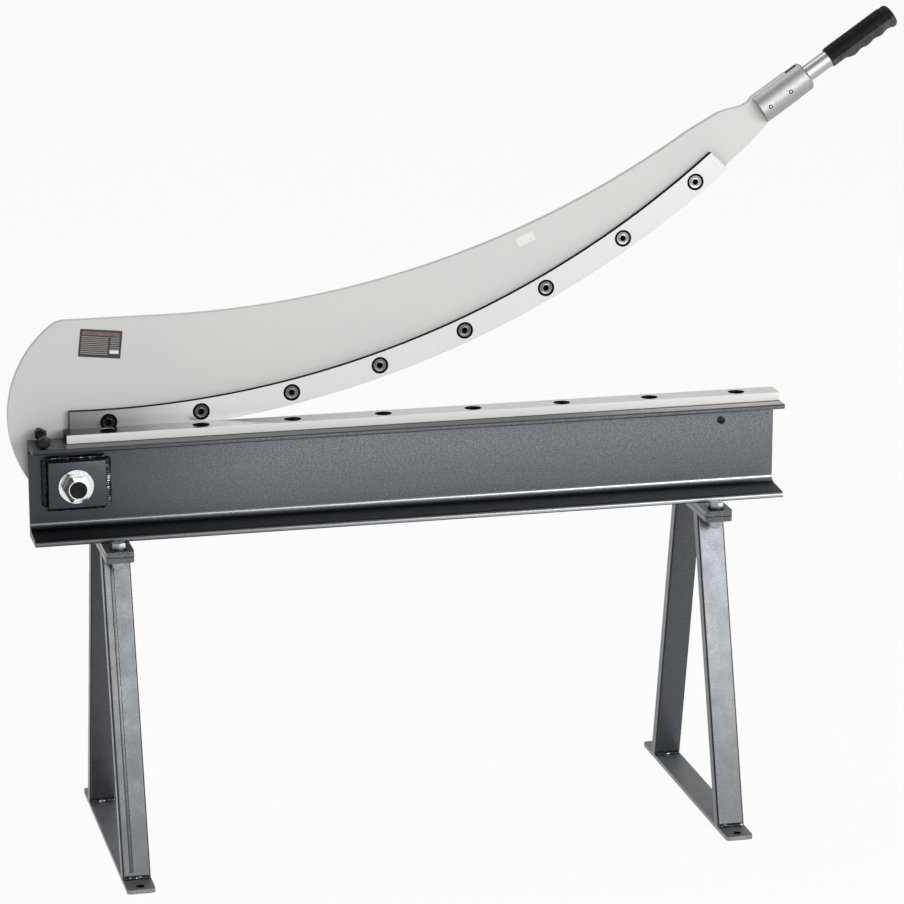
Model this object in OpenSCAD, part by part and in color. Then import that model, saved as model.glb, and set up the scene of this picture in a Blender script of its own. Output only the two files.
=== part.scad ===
// Manual guillotine shear: a channel beam on two welded stands carries the lower blade,
// and a long curved arm with the upper blade turns on one bolt at the left end.
// Lengths are in millimetres. X runs along the beam, Y from front to back and Z up.
// The origin is on the floor, under the middle of the whole machine.
// The arm is drawn raised, with its stop bolt on the beam.

/* [Beam] */
// Length of the channel beam
beam_l = 1097.5; // [1060:0.5:1160]
// Height of the channel
beam_h = 140; // [130:1:170]
// Width of a flange, from the web's back face to the toe
beam_b = 60; // [55:1:80]
// Thickness of the web
web_t = 7; // [5:0.5:10]
// Thickness of a flange at half its width
flange_t = 10; // [8:0.5:12]
// Slope of a flange's inner face
flange_slope_share = 0.08; // [0:0.01:0.1]
// Radius between the web and a flange
root_r = 10; // [6:0.5:14]
// Radius of a flange's toe
toe_r = 5; // [2:0.5:6]
// Length of the beam to the left of the arm's pivot
beam_tail = 63.5; // [55:0.5:75]
// Height of the beam's underside above the floor
beam_rise = 460; // [350:5:700]
// Distance from the middle of the feet back to the beam's rear face
beam_set_back = 21.5; // [10:0.5:30]

/* [Lower blade] */
// Distance from the pivot back to the lower blade's left end, whose right end is the beam's
blade_lead = 12; // [8:0.5:13]
// Width of the lower blade
lower_blade_w = 35; // [30:1:45]
// Thickness of the lower blade
lower_blade_t = 12; // [10:0.5:16]
// How far the lower blade stands out behind the web
blade_overhang = 0.8; // [0.2:0.1:2]
// Distance from the end of the lower blade to its first screw
lower_screw_edge = 61; // [30:1:80]
// Gap between the two cutting edges
shear_gap = 0.15; // [0.1:0.05:0.3]

/* [Upper blade] */
// Radius of the upper blade's cutting edge
cut_r = 1418; // [1380:1:1450]
// Width of the upper blade
upper_blade_w = 35; // [30:1:45]
// Thickness of the upper blade
upper_blade_t = 10; // [8:0.5:14]
// Angle of the upper blade's left end, from straight below the arc's centre
blade_start = -1.75; // [-2.4:0.05:-0.6]
// Angle that the upper blade covers
blade_sweep = 42.2; // [40:0.1:43]
// Angle by which the blade's right end is cut steeper than the radius
tip_cut = 5.6; // [0:0.1:8]
// Distance from the pivot to the arc's centre, along the beam
cut_c_x = 40; // [30:0.5:50]
// Depth of the arc's lowest point below the table, with the arm raised
edge_drop = 10.9; // [6:0.1:14]
// Depth of a blade screw's head below the blade's face
screw_sink = 0.5; // [0.2:0.1:1]
// Diameter of a blade screw's shank
blade_screw_d = 12; // [8:0.5:14]
// Diameter of a blade screw's head
blade_head_d = 24.6; // [20:0.1:27]
// Depth of a blade screw's cone
blade_head_h = 6; // [4:0.5:7]
// Width of the hexagon socket across its flats
blade_socket_af = 8; // [6:0.5:10]
// Number of screws in each blade
screw_n = 8; // [4:1:10]

/* [Arm] */
// Thickness of the arm plate
arm_t = 10; // [8:0.5:14]
// Height of the pivot in the beam, as a share of the beam's height
pivot_share = 0.55; // [0.5:0.01:0.6]
// Radius of the arm's round left end
round_r = 164.5; // [160:0.5:170]
// Distance from the pivot to the centre of the round end, along the beam
round_c_x = 76.3; // [70:0.5:80]
// Height of the round end's centre above the table
round_c_z = 17; // [12:0.5:20]
// Radius of the corner between the round end and the top edge
corner_r = 30; // [15:1:45]
// Radius of the arm's top edge
top_r = 1388.7; // [1350:1:1420]
// Distance from the pivot to the centre of the top edge's arc, along the beam
top_c_x = 138.6; // [130:0.5:150]
// Height of the top edge above the table at its lowest point
arm_rise = 154; // [145:0.5:165]
// Distance by which the plate's lower edge stays behind the cutting edge
plate_recess = 1.5; // [0.5:0.5:6]
// Thickness of the nameplate and the small label
label_t = 0.4; // [0.2:0.1:1]
// Width of the nameplate
nameplate_w = 60; // [40:1:70]
// Height of the nameplate
nameplate_h = 40; // [25:1:45]
// Width of the small label
label_w = 27; // [15:0.5:35]
// Height of the small label
label_h = 13.4; // [8:0.1:18]
// Distance from the pivot to the middle of the nameplate, along the beam
nameplate_x = 45; // [30:1:60]
// Height of the nameplate's middle above the table
nameplate_z = 118.5; // [100:0.5:125]
// Tilt of the nameplate
nameplate_tilt = -6.2; // [-12:0.1:12]
// Distance from the pivot to the middle of the small label, along the beam
label_x = 661.5; // [640:0.5:680]
// Height of the small label's middle above the table
label_z = 237.5; // [230:0.5:245]
// Tilt of the small label
label_tilt = 21.5; // [10:0.5:30]

/* [Pivot] */
// Diameter of the pivot bolt
pivot_d = 24; // [20:0.5:27]
// Running clearance between the pivot bolt and the bush, on the radius
pivot_fit = 0.05; // [0.02:0.01:0.08]
// Clearance on each side of the arm plate
side_gap = 0.1; // [0.08:0.01:0.2]
// Wall of the bush
bush_wall = 4.5; // [3:0.5:6]
// Diameter of the spacer between the web and the arm
spacer_d = 60; // [50:1:70]
// Width of the block on the front of the web
block_w = 80; // [72:1:84]
// Distance from the top of the beam down to the block
block_gap_top = 25; // [25:0.5:32]
// Distance from the beam's underside up to the block
block_gap_bottom = 45; // [36:0.5:50]
// Thickness of the block
block_t = 23; // [16:0.5:30]
// Leg of the weld at the block's sides and bottom
block_weld = 9; // [4:0.5:10]
// Leg of the weld above the block
block_weld_top = 3; // [1:0.5:4]
// Diameter of the pivot washers
pivot_washer_d = 50; // [44:1:56]
// Thickness of the pivot washers
pivot_washer_t = 4; // [3:0.5:6]
// Width of the pivot nut across its flats
pivot_nut_af = 36; // [32:1:41]
// Thickness of the pivot nut
pivot_nut_t = 19; // [14:0.5:22]
// Thickness of the pivot bolt's head
pivot_head_t = 15; // [12:0.5:18]
// Length of bolt that shows past the nut
pivot_end = 1.2; // [0.5:0.1:4]

/* [Stop bolt] */
// Diameter of the stop bolt
stop_d = 10; // [8:0.5:12]
// Width of the stop bolt's head and nuts across the flats
stop_af = 16; // [14:0.5:17]
// Thickness of the stop bolt's head
stop_head_t = 6.4; // [5:0.1:8]
// Thickness of the stop bolt's nuts
stop_nut_t = 8.4; // [6:0.1:10]
// Distance from the pivot to the stop bolt, against the beam's direction
stop_x = 45.2; // [43:0.1:50]
// Distance from the arm's front face to the front of the stop bolt's head
stop_reach = 66.5; // [55:0.5:70]
// Distance from the arm's front face to the front of the nut on it
stop_nut_reach = 23; // [10:0.5:30]
// Gap between the stop bolt's head and the flange
stop_gap = 0.15; // [0.1:0.05:0.4]

/* [Handle] */
// Angle of the handle above the beam's direction
handle_angle = 34.3; // [30:0.1:40]
// Distance from the end of the upper blade to the socket, along the beam
neck_x = 50; // [45:0.5:60]
// Height of the socket's start above the end of the upper blade
neck_z = 81.5; // [74:0.5:86]
// Diameter of the socket
socket_d = 44; // [38:0.5:48]
// Length of the socket
socket_l = 85; // [78:0.5:100]
// Chamfer of the socket's outer end
socket_chamfer = 3; // [1:0.5:6]
// Length of the plate's tongue in the socket
tongue_l = 60; // [50:0.5:64]
// Height of the tongue's edges above the socket's surface
tongue_rise = 0.6; // [0.2:0.1:3]
// Clearance between the tongue and its slot, on each side
slot_gap = 0.1; // [0.05:0.05:0.3]
// Diameter of the pins through the socket
pin_d = 6; // [4:0.5:8]
// Diameter of the rod
rod_d = 25; // [20:0.5:27]
// Length of rod between the socket and the grip
rod_gap = 40; // [30:0.5:60]
// Length of the grip
grip_l = 113; // [100:1:130]
// Diameter of the grip's plain part
grip_d = 29.5; // [29:0.5:33]
// Distance of the finger side's axis below the rod's
grip_drop = 3; // [1:0.5:4]
// Distance from the grip's start to its finger side
finger_start = 21; // [10:0.5:30]
// Length over which the finger side rises
finger_ramp = 9; // [5:0.5:15]
// Distance between two finger hollows
finger_pitch = 23.5; // [20:0.5:30]
// Distance from the grip's start to the first crest between fingers
finger_first = 36; // [30:0.5:45]
// Mean diameter of the finger side
finger_d = 30.6; // [29:0.1:34]
// Height of the waves on the finger side
finger_wave = 1; // [0.5:0.1:2]
// Diameter of the grip's end collar
collar_d = 34.8; // [32:0.1:38]
// Length of the grip's end collar
collar_l = 11; // [9:0.5:16]
// Radius of the grip's rounded end
grip_round = 6; // [3:0.5:8]
// Thickness of rubber over the end of the rod
grip_cap = 8; // [5:0.5:12]
// Gap between the tongue and the end of the rod in the socket
rod_clear = 3; // [1:0.5:6]
// Length of whole tube beyond the slot, before the socket's chamfer
slot_rim = 3; // [2:0.5:5]
// Depth of a pin's ends below the socket's surface
pin_sink = 0.5; // [0:0.1:1]

/* [Stands] */
// Distance from the beam's left end to the middle of the left stand
stand_inset_left = 111.8; // [100:0.5:160]
// Distance from the beam's right end to the middle of the right stand
stand_inset_right = 112.8; // [80:0.5:160]
// Width of the plates, legs and feet
stand_w = 40; // [30:1:50]
// Thickness of the two plates under the beam
plate_t = 8; // [6:0.5:12]
// Radius of the plates' and feet's corners
plate_corner = 6; // [2:0.5:10]
// Thickness of the foot strap
foot_t = 6; // [4:0.5:10]
// Length of the foot strap
foot_l = 427; // [400:1:500]
// Depth of a leg, square to its length
leg_d = 20; // [16:0.5:24]
// Wall of a leg
leg_wall = 2; // [1.5:0.5:3]
// Outer corner radius of a leg
leg_r = 3; // [2.5:0.5:5]
// Distance from an end of the foot to a leg
leg_foot_gap = 42.5; // [30:0.5:60]
// Leg of the welds at the ends of the legs
leg_weld = 5; // [3:0.5:5]
// Distance from an end of the foot to its anchor hole
anchor_edge = 14; // [12:0.5:24]
// Diameter of the anchor holes
anchor_d = 11; // [9:0.5:13]
// Distance from the beam's front to the front bolt
front_bolt_gap = 33; // [16:0.5:40]
// Distance from the front bolt to the front edge of the plates
plate_front_edge = 18.5; // [14:0.5:30]
// Distance from the front bolt back to the front leg
front_leg_gap = 27; // [16:0.5:40]
// Distance from the beam's rear face to the rear bolt
rear_bolt_gap = 19.5; // [14:0.5:30]
// Distance from the rear bolt back to the back leg
back_leg_gap = 17; // [16:0.5:30]
// Distance from the back leg to the rear edge of the plates
plate_rear_edge = 11.5; // [8:0.5:20]
// Diameter of the stand bolts
bolt_d = 12; // [10:0.5:12]
// Width of the stand bolts' heads and nuts across the flats
bolt_af = 18; // [16:0.5:19]
// Thickness of the stand bolts' heads
bolt_head_t = 7.5; // [6:0.5:9]
// Thickness of the stand bolts' nuts
bolt_nut_t = 10.8; // [8:0.1:12]
// Diameter of the stand bolts' washers
bolt_washer_d = 24; // [22:0.5:26]
// Thickness of the stand bolts' washers
bolt_washer_t = 2.5; // [1.5:0.5:3]
// Length of bolt that shows past a nut
bolt_end = 3; // [1:0.5:6]

/* [Web screw] */
// Distance from the beam's right end to the small screw in the web
web_screw_edge = 80; // [60:0.5:100]
// Depth of the small screw below the top of the beam
web_screw_drop = 32; // [28:0.5:45]
// Diameter of the small screw
web_screw_d = 6; // [5:0.5:8]
// Width of the small screw's head across the flats
web_screw_af = 10; // [9:0.5:13]
// Thickness of the small screw's head
web_screw_head_t = 4; // [3:0.5:6]

/* [Hidden] */
$fn = 96;

// One overrun serves every cut that passes through
over = 1;
// A box larger than the machine, for cutting along a plane
far = 4 * beam_l;
// Clearance of a bolt in its hole, on the radius
hole_gap = 0.5;
// Steps in the long arcs, the middle ones and the small ones
long_steps = 72;
mid_steps = 48;
small_steps = 8;

// Heights
table_z = beam_rise + beam_h + lower_blade_t;
pivot_z = beam_rise + beam_h * pivot_share;
beam_top_z = beam_rise + beam_h;
block_low_z = beam_rise + block_gap_bottom;
block_high_z = beam_top_z - block_gap_top;
block_h = block_high_z - block_low_z;

// Depths, from the front to the back
web_back_y = beam_set_back;
web_front_y = web_back_y - web_t;
toe_y = web_back_y - beam_b;
block_front_y = web_front_y - block_t;
shear_y = web_back_y + blade_overhang;
upper_blade_y = shear_y + shear_gap;
arm_y = upper_blade_y + upper_blade_t;
arm_back_y = arm_y + arm_t;
arm_mid_y = arm_y + arm_t / 2;

// The upper blade's arc, seen from the front, with the pivot at zero along the beam
cut_c_z = table_z - edge_drop + cut_r;
blade_end_angle = blade_start + blade_sweep;
screw_r = cut_r - upper_blade_w / 2;
first_screw_share = 0.0538;
last_screw_share = 0.9533;
function below(c, r, a) = [c[0] + r * sin(a), c[1] - r * cos(a)];

// The socket starts at a place that follows the blade's right end
blade_tip = below([cut_c_x, cut_c_z], cut_r, blade_end_angle);
socket_start = [blade_tip[0] + neck_x, blade_tip[1] + neck_z];
grip_start = socket_l + rod_gap;
grip_end = grip_start + grip_l;

// The whole machine is centred between the arm's round end and the grip's end
left_reach = round_r - round_c_x;
grip_end_x = socket_start[0] + (grip_end - grip_round) * cos(handle_angle);
grip_corner = collar_d / 2 - grip_round + grip_drop;
right_reach = grip_end_x + grip_corner * sin(handle_angle) + grip_round;
pivot_x = (left_reach - right_reach) / 2;
beam_x = pivot_x - beam_tail;
beam_end_x = beam_x + beam_l;
lower_blade_x = pivot_x - blade_lead;
lower_blade_l = beam_end_x - lower_blade_x;
left_stand_x = beam_x + stand_inset_left;
right_stand_x = beam_end_x - stand_inset_right;

// The bolts of a stand clear the beam, its legs clear the bolts and its plates reach past both.
// The outer faces of the legs are at these distances from the machine's middle, above and below.
front_bolt_y = toe_y - front_bolt_gap;
rear_bolt_y = web_back_y + rear_bolt_gap;
leg_top_z = beam_rise - 2 * plate_t;
leg_h = leg_top_z - foot_t;
leg_bottom = foot_l / 2 - leg_foot_gap;
front_top = -front_bolt_y - front_leg_gap;
back_spread = [leg_bottom - rear_bolt_y - back_leg_gap, leg_h];
back_lean = acos(leg_d / norm(back_spread)) - atan2(back_spread[1], back_spread[0]);
back_top = rear_bolt_y + back_leg_gap + leg_d / cos(back_lean);
plate_front = front_bolt_y - plate_front_edge;
plate_rear = back_top + plate_rear_edge;

// Depth of a blade screw's hexagon socket as a share of its head
socket_depth_share = 0.75;

// Radius of a hexagon from its width across the flats
function hex_r(af) = af / 2 / cos(30);

// Points along an arc from one angle to another
function arc(c, r, a0, a1, n) =
    [for (i = [0:n]) let (a = a0 + (a1 - a0) * i / n) [c[0] + r * cos(a), c[1] + r * sin(a)]];

// Outline of a rectangle with round corners, centred on zero
function round_rect(w, d, r) = concat(
    arc([w / 2 - r, d / 2 - r], r, 0, 90, small_steps),
    arc([r - w / 2, d / 2 - r], r, 90, 180, small_steps),
    arc([r - w / 2, r - d / 2], r, 180, 270, small_steps),
    arc([w / 2 - r, r - d / 2], r, 270, 360, small_steps));

// Draws a flat shape, given as X and Z, from depth y0 over thickness t
module upright(y0, t) {
    translate([0, y0 + t, 0])
        rotate([90, 0, 0])
            linear_extrude(t)
                children();
}

// A cylinder along the depth, from y0 over length l
module bar_y(x, y0, z, r, l) {
    translate([x, y0 + l, z])
        rotate([90, 0, 0])
            cylinder(r = r, h = l);
}

// A hexagon prism along the depth, with two corners up and down
module hex_y(x, y0, z, af, l) {
    translate([x, y0 + l, z])
        rotate([90, 30, 0])
            cylinder(r = hex_r(af), h = l, $fn = 6);
}

// A countersunk screw that points down from its face at zero, with a hexagon socket
module blade_screw(shank_l) {
    difference() {
        union() {
            translate([0, 0, -shank_l])
                cylinder(d = blade_screw_d, h = shank_l - blade_head_h);
            translate([0, 0, -blade_head_h])
                cylinder(d1 = blade_screw_d, d2 = blade_head_d, h = blade_head_h);
        }
        translate([0, 0, -blade_head_h * socket_depth_share])
            cylinder(r = hex_r(blade_socket_af), h = blade_head_h, $fn = 6);
    }
}

// The space that a countersunk screw takes in a blade, from the blade's face down
module blade_screw_seat(depth) {
    translate([0, 0, -screw_sink])
        cylinder(d = blade_head_d, h = screw_sink + over);
    translate([0, 0, -screw_sink - blade_head_h])
        cylinder(d1 = blade_screw_d, d2 = blade_head_d, h = blade_head_h);
    translate([0, 0, -depth])
        cylinder(d = blade_screw_d, h = depth);
}

// Puts its child at each screw of the upper blade, with Z pointing to the front
module at_upper_screws() {
    for (i = [0:screw_n - 1]) {
        share = first_screw_share + (last_screw_share - first_screw_share) * i / (screw_n - 1);
        p = below([cut_c_x, cut_c_z], screw_r, blade_start + blade_sweep * share);
        translate([pivot_x + p[0], upper_blade_y, p[1]])
            rotate([90, 0, 0])
                children();
    }
}

// Puts its child at each screw of the lower blade, on the table's surface
module at_lower_screws() {
    step = (lower_blade_l - 2 * lower_screw_edge) / (screw_n - 1);
    for (i = [0:screw_n - 1])
        translate([lower_blade_x + lower_screw_edge + step * i, shear_y - lower_blade_w / 2, table_z])
            children();
}

// The small screw in the web
web_screw_x = beam_end_x - web_screw_edge;
web_screw_z = beam_top_z - web_screw_drop;

// Section of the channel, with its web at zero and its flanges to the right
flange_angle = atan(flange_slope_share);
function flange_at(u) = flange_t - flange_slope_share * (u - beam_b / 2);
toe_c = [beam_b - toe_r, flange_at(beam_b - toe_r) - toe_r / cos(flange_angle)];
root_c = [web_t + root_r, flange_at(web_t + root_r) + root_r / cos(flange_angle)];
half_channel = concat(
    [[0, 0], [beam_b, 0]],
    arc(toe_c, toe_r, 0, 90 - flange_angle, small_steps),
    arc(root_c, root_r, 270 - flange_angle, 180, small_steps));
channel = concat(
    half_channel,
    [for (i = [len(half_channel) - 1:-1:0]) [half_channel[i][0], beam_h - half_channel[i][1]]]);

module beam() {
    color("slategray")
        difference() {
            translate([beam_x, web_back_y, beam_rise])
                rotate([90, 0, 90])
                    linear_extrude(beam_l)
                        mirror([1, 0])
                            polygon(channel);
            bar_y(pivot_x, web_front_y - over, pivot_z, pivot_d / 2, web_t + 2 * over);
            bar_y(web_screw_x, web_front_y - over, web_screw_z, web_screw_d / 2, web_t + 2 * over);
            at_lower_screws()
                translate([0, 0, -lower_blade_t - root_c[1]])
                    cylinder(d = blade_screw_d, h = root_c[1] + over);
        }
}

module pivot_block() {
    color("slategray")
        difference() {
            translate([pivot_x - block_w / 2, block_front_y, block_low_z])
                cube([block_w, block_t, block_h]);
            bar_y(pivot_x, block_front_y - over, pivot_z, pivot_d / 2, block_t + 2 * over);
        }
}

// Triangle of weld along X, with its corner at the origin and its legs along Y and Z
module weld_x(l, leg_y, leg_z) {
    rotate([90, 0, 90])
        linear_extrude(l)
            polygon([[0, 0], [leg_y, 0], [0, leg_z]]);
}

// Triangle of weld along Z, with its corner at the origin and its legs along X and Y
module weld_z(l, leg_x, leg_y) {
    linear_extrude(l)
        polygon([[0, 0], [leg_x, 0], [0, leg_y]]);
}

module pivot_block_weld() {
    left_x = pivot_x - block_w / 2;
    right_x = left_x + block_w;
    color("slategray") {
        translate([left_x, web_front_y, block_low_z])
            weld_x(block_w, -block_weld, -block_weld);
        translate([left_x, web_front_y, block_high_z])
            weld_x(block_w, -block_weld, block_weld_top);
        translate([left_x, web_front_y, block_low_z])
            weld_z(block_h, -block_weld, -block_weld);
        translate([right_x, web_front_y, block_low_z])
            weld_z(block_h, block_weld, -block_weld);
    }
}

module pivot_spacer() {
    color("silver")
        difference() {
            bar_y(pivot_x, web_back_y, pivot_z, spacer_d / 2, arm_y - side_gap - web_back_y);
            bar_y(pivot_x, web_back_y - over, pivot_z, pivot_d / 2, arm_y - web_back_y + 2 * over);
        }
}

// The front end of the pivot bolt, and the seat of its head behind the arm
pivot_front_y = block_front_y - pivot_washer_t - pivot_nut_t - pivot_end;
pivot_head_y = arm_back_y + side_gap + pivot_washer_t;

module pivot_bolt() {
    color("dimgray") {
        bar_y(pivot_x, pivot_front_y, pivot_z, pivot_d / 2, pivot_head_y - pivot_front_y);
        hex_y(pivot_x, pivot_head_y, pivot_z, pivot_nut_af, pivot_head_t);
    }
}

module pivot_washers() {
    color("gainsboro")
        for (y = [block_front_y - pivot_washer_t, arm_back_y + side_gap])
            difference() {
                bar_y(pivot_x, y, pivot_z, pivot_washer_d / 2, pivot_washer_t);
                bar_y(pivot_x, y - over, pivot_z, pivot_d / 2, pivot_washer_t + 2 * over);
            }
}

module pivot_nut() {
    nut_y = block_front_y - pivot_washer_t - pivot_nut_t;
    color("gainsboro")
        difference() {
            hex_y(pivot_x, nut_y, pivot_z, pivot_nut_af, pivot_nut_t);
            bar_y(pivot_x, nut_y - over, pivot_z, pivot_d / 2, pivot_nut_t + 2 * over);
        }
}

module lower_blade() {
    color("whitesmoke")
        difference() {
            translate([lower_blade_x, shear_y - lower_blade_w, beam_top_z])
                cube([lower_blade_l, lower_blade_w, lower_blade_t]);
            at_lower_screws()
                blade_screw_seat(lower_blade_t + over);
        }
}

// The screws of the lower blade end flush with the thread in the flange
lower_thread = flange_at(web_t + root_r);

module lower_blade_screws() {
    color("black")
        at_lower_screws()
            translate([0, 0, -screw_sink])
                blade_screw(lower_blade_t + lower_thread - screw_sink);
}

module web_screw() {
    color("dimgray") {
        bar_y(web_screw_x, web_front_y, web_screw_z, web_screw_d / 2, web_t);
        hex_y(web_screw_x, web_front_y - web_screw_head_t, web_screw_z, web_screw_af, web_screw_head_t);
    }
}

// A flat bar across the beam with round corners, from depth y0 to depth y1
module strap(y0, y1, t) {
    translate([0, (y0 + y1) / 2, 0])
        linear_extrude(t)
            polygon(round_rect(stand_w, y1 - y0, plate_corner));
}

// Both holes for the stand bolts
module bolt_holes(z, h) {
    for (y = [front_bolt_y, rear_bolt_y])
        translate([0, y, z - over])
            cylinder(r = bolt_d / 2 + hole_gap, h = h + 2 * over);
}

module pad_plate() {
    difference() {
        translate([0, 0, beam_rise - plate_t])
            strap(plate_front, plate_rear, plate_t);
        bolt_holes(beam_rise - plate_t, plate_t);
    }
}

module top_plate() {
    difference() {
        translate([0, 0, leg_top_z])
            strap(plate_front, plate_rear, plate_t);
        bolt_holes(leg_top_z, plate_t);
    }
}

module foot() {
    difference() {
        strap(-foot_l / 2, foot_l / 2, foot_t);
        for (y = [anchor_edge - foot_l / 2, foot_l / 2 - anchor_edge])
            translate([0, y, -over])
                cylinder(d = anchor_d, h = foot_t + 2 * over);
    }
}

// A hollow leg that leans inwards. Its outer face is at -top_y above and -bottom_y below.
module leg(top_y, bottom_y) {
    lean = atan((bottom_y - top_y) / leg_h);
    intersection() {
        translate([0, -bottom_y, foot_t])
            rotate([-lean, 0, 0])
                translate([0, leg_d / 2, -leg_d])
                    linear_extrude(leg_h / cos(lean) + 2 * leg_d)
                        difference() {
                            polygon(round_rect(stand_w, leg_d, leg_r));
                            polygon(round_rect(
                                stand_w - 2 * leg_wall, leg_d - 2 * leg_wall, leg_r - leg_wall));
                        }
        translate([-far / 2, -far / 2, foot_t])
            cube([far, far, leg_h]);
    }
}

// Both weld beads at one end of a leg, on its outer and its inner face
module end_welds(face_y, lean, z, up) {
    run = stand_w - 2 * leg_r;
    slant = leg_weld * tan(lean);
    depth = leg_d / cos(lean);
    translate([-run / 2, -face_y, z])
        rotate([90, 0, 90])
            linear_extrude(run) {
                polygon([[0, 0], [-leg_weld, 0], [up * slant, up * leg_weld]]);
                polygon([[depth, 0], [depth + leg_weld, 0], [depth + up * slant, up * leg_weld]]);
            }
}

module leg_welds(top_y, bottom_y) {
    lean = atan((bottom_y - top_y) / leg_h);
    end_welds(bottom_y, lean, foot_t, 1);
    end_welds(top_y, lean, leg_top_z, -1);
}

module stand_welds() {
    leg_welds(front_top, leg_bottom);
    mirror([0, 1, 0])
        leg_welds(back_top, leg_bottom);
}

module stand_bolts() {
    bolt_low_z = leg_top_z - bolt_nut_t - bolt_end;
    head_z = beam_rise + bolt_washer_t;
    for (y = [front_bolt_y, rear_bolt_y])
        translate([0, y, 0]) {
            translate([0, 0, bolt_low_z])
                cylinder(d = bolt_d, h = head_z - bolt_low_z);
            translate([0, 0, head_z])
                cylinder(r = hex_r(bolt_af), h = bolt_head_t, $fn = 6);
        }
}

module stand_washers() {
    for (y = [front_bolt_y, rear_bolt_y])
        translate([0, y, beam_rise])
            difference() {
                cylinder(d = bolt_washer_d, h = bolt_washer_t);
                translate([0, 0, -over])
                    cylinder(d = bolt_d, h = bolt_washer_t + 2 * over);
            }
}

module stand_nuts() {
    for (y = [front_bolt_y, rear_bolt_y])
        translate([0, y, leg_top_z - bolt_nut_t])
            difference() {
                cylinder(r = hex_r(bolt_af), h = bolt_nut_t, $fn = 6);
                translate([0, 0, -over])
                    cylinder(d = bolt_d, h = bolt_nut_t + 2 * over);
            }
}

// Puts a stand's piece under the left or the right end of the beam
module at_left() {
    translate([left_stand_x, 0, 0])
        children();
}

module at_right() {
    translate([right_stand_x, 0, 0])
        children();
}

module left_pad_plate() { color("slategray") at_left() pad_plate(); }
module left_top_plate() { color("slategray") at_left() top_plate(); }
module left_front_leg() { color("slategray") at_left() leg(front_top, leg_bottom); }
module left_back_leg() { color("slategray") at_left() mirror([0, 1, 0]) leg(back_top, leg_bottom); }
module left_foot() { color("slategray") at_left() foot(); }
module left_stand_welds() { color("gray") at_left() stand_welds(); }
module left_stand_bolts() { color("silver") at_left() stand_bolts(); }
module left_stand_washers() { color("silver") at_left() stand_washers(); }
module left_stand_nuts() { color("silver") at_left() stand_nuts(); }
module right_pad_plate() { color("slategray") at_right() pad_plate(); }
module right_top_plate() { color("slategray") at_right() top_plate(); }
module right_front_leg() { color("slategray") at_right() leg(front_top, leg_bottom); }
module right_back_leg() { color("slategray") at_right() mirror([0, 1, 0]) leg(back_top, leg_bottom); }
module right_foot() { color("slategray") at_right() foot(); }
module right_stand_welds() { color("gray") at_right() stand_welds(); }
module right_stand_bolts() { color("silver") at_right() stand_bolts(); }
module right_stand_washers() { color("silver") at_right() stand_washers(); }
module right_stand_nuts() { color("silver") at_right() stand_nuts(); }

// Outline of the arm plate, with the pivot at zero along the beam.
// The round end, its top corner and the boss round the pivot touch without a kink.
round_c = [round_c_x, table_z + round_c_z];
arm_top_z = table_z + arm_rise;
corner_z = arm_top_z - corner_r;
corner_x = round_c_x - sqrt(pow(round_r - corner_r, 2) - pow(corner_z - round_c[1], 2));
corner_angle = atan2(corner_z - round_c[1], corner_x - round_c_x);
boss_angle = 360 + atan2(pivot_z - round_c[1], -round_c_x);
boss_r = round_r - norm([round_c_x, round_c[1] - pivot_z]);

// The plate's lower edge leaves the boss along a tangent and joins the arc here
lower_r = cut_r - plate_recess;
join_angle = 6;
join = below([cut_c_x, cut_c_z], lower_r, join_angle);
join_v = [join[0], join[1] - pivot_z];
tangent_angle = atan2(join_v[1], join_v[0]) + asin(boss_r / norm(join_v)) - 90;

// The neck follows the socket's start in shares of the socket's length
function from_socket(share) = [socket_start[0] + share[0] * socket_l, socket_start[1] + share[1] * socket_l];
shoulder_shares = [[-0.74, -0.021], [-0.58, 0.027], [-0.44, 0.053], [-0.31, 0.086], [-0.21, 0.141]];
neck_shares = [[-0.168, -0.558], [-0.515, -0.853]];
top_end_share = 0.94;
top_end = asin((blade_tip[0] * top_end_share - top_c_x) / top_r);
top_c = [top_c_x, arm_top_z + top_r];

// A point of the handle, from its distance along the axis and its height above it
function on_handle(s, n) = [
    socket_start[0] + s * cos(handle_angle) - n * sin(handle_angle),
    socket_start[1] + s * sin(handle_angle) + n * cos(handle_angle)];

// Distance of the tongue's edges from the handle's axis
tongue_reach = socket_d / 2 + tongue_rise;

arm_outline = concat(
    arc([corner_x, corner_z], corner_r, 90, corner_angle, small_steps),
    arc(round_c, round_r, corner_angle, boss_angle, mid_steps),
    arc([0, pivot_z], boss_r, boss_angle, 360 + tangent_angle, mid_steps),
    [for (i = [0:long_steps])
        below([cut_c_x, cut_c_z], lower_r, join_angle + (blade_end_angle - join_angle) * i / long_steps)],
    [from_socket(neck_shares[1]), from_socket(neck_shares[0])],
    [on_handle(0, -tongue_reach), on_handle(tongue_l, -tongue_reach)],
    [on_handle(tongue_l, tongue_reach), on_handle(0, tongue_reach)],
    [for (i = [len(shoulder_shares) - 1:-1:0]) from_socket(shoulder_shares[i])],
    [for (i = [long_steps:-1:0]) below(top_c, top_r, top_end * i / long_steps)]);

// Outer radius of the bush
bush_r = pivot_d / 2 + pivot_fit + bush_wall;

// Height of the stop bolt: one corner of its head is down, just above the flange
stop_z = beam_top_z + stop_gap + hex_r(stop_af);
stop_front_y = arm_y - stop_reach;
stop_nut_y = arm_y - stop_nut_reach;

// Puts its child on the handle, with Z along the handle's axis and Y along the depth
module on_handle_axis() {
    translate([pivot_x + socket_start[0], arm_mid_y, socket_start[1]])
        rotate([0, 90 - handle_angle, 0])
            children();
}

// The two pins cross the socket at these shares of its length
pin_shares = [0.154, 0.583];

module pin_bars(l) {
    for (share = pin_shares)
        translate([0, l / 2, socket_l * share])
            rotate([90, 0, 0])
                cylinder(d = pin_d, h = l);
}

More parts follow.
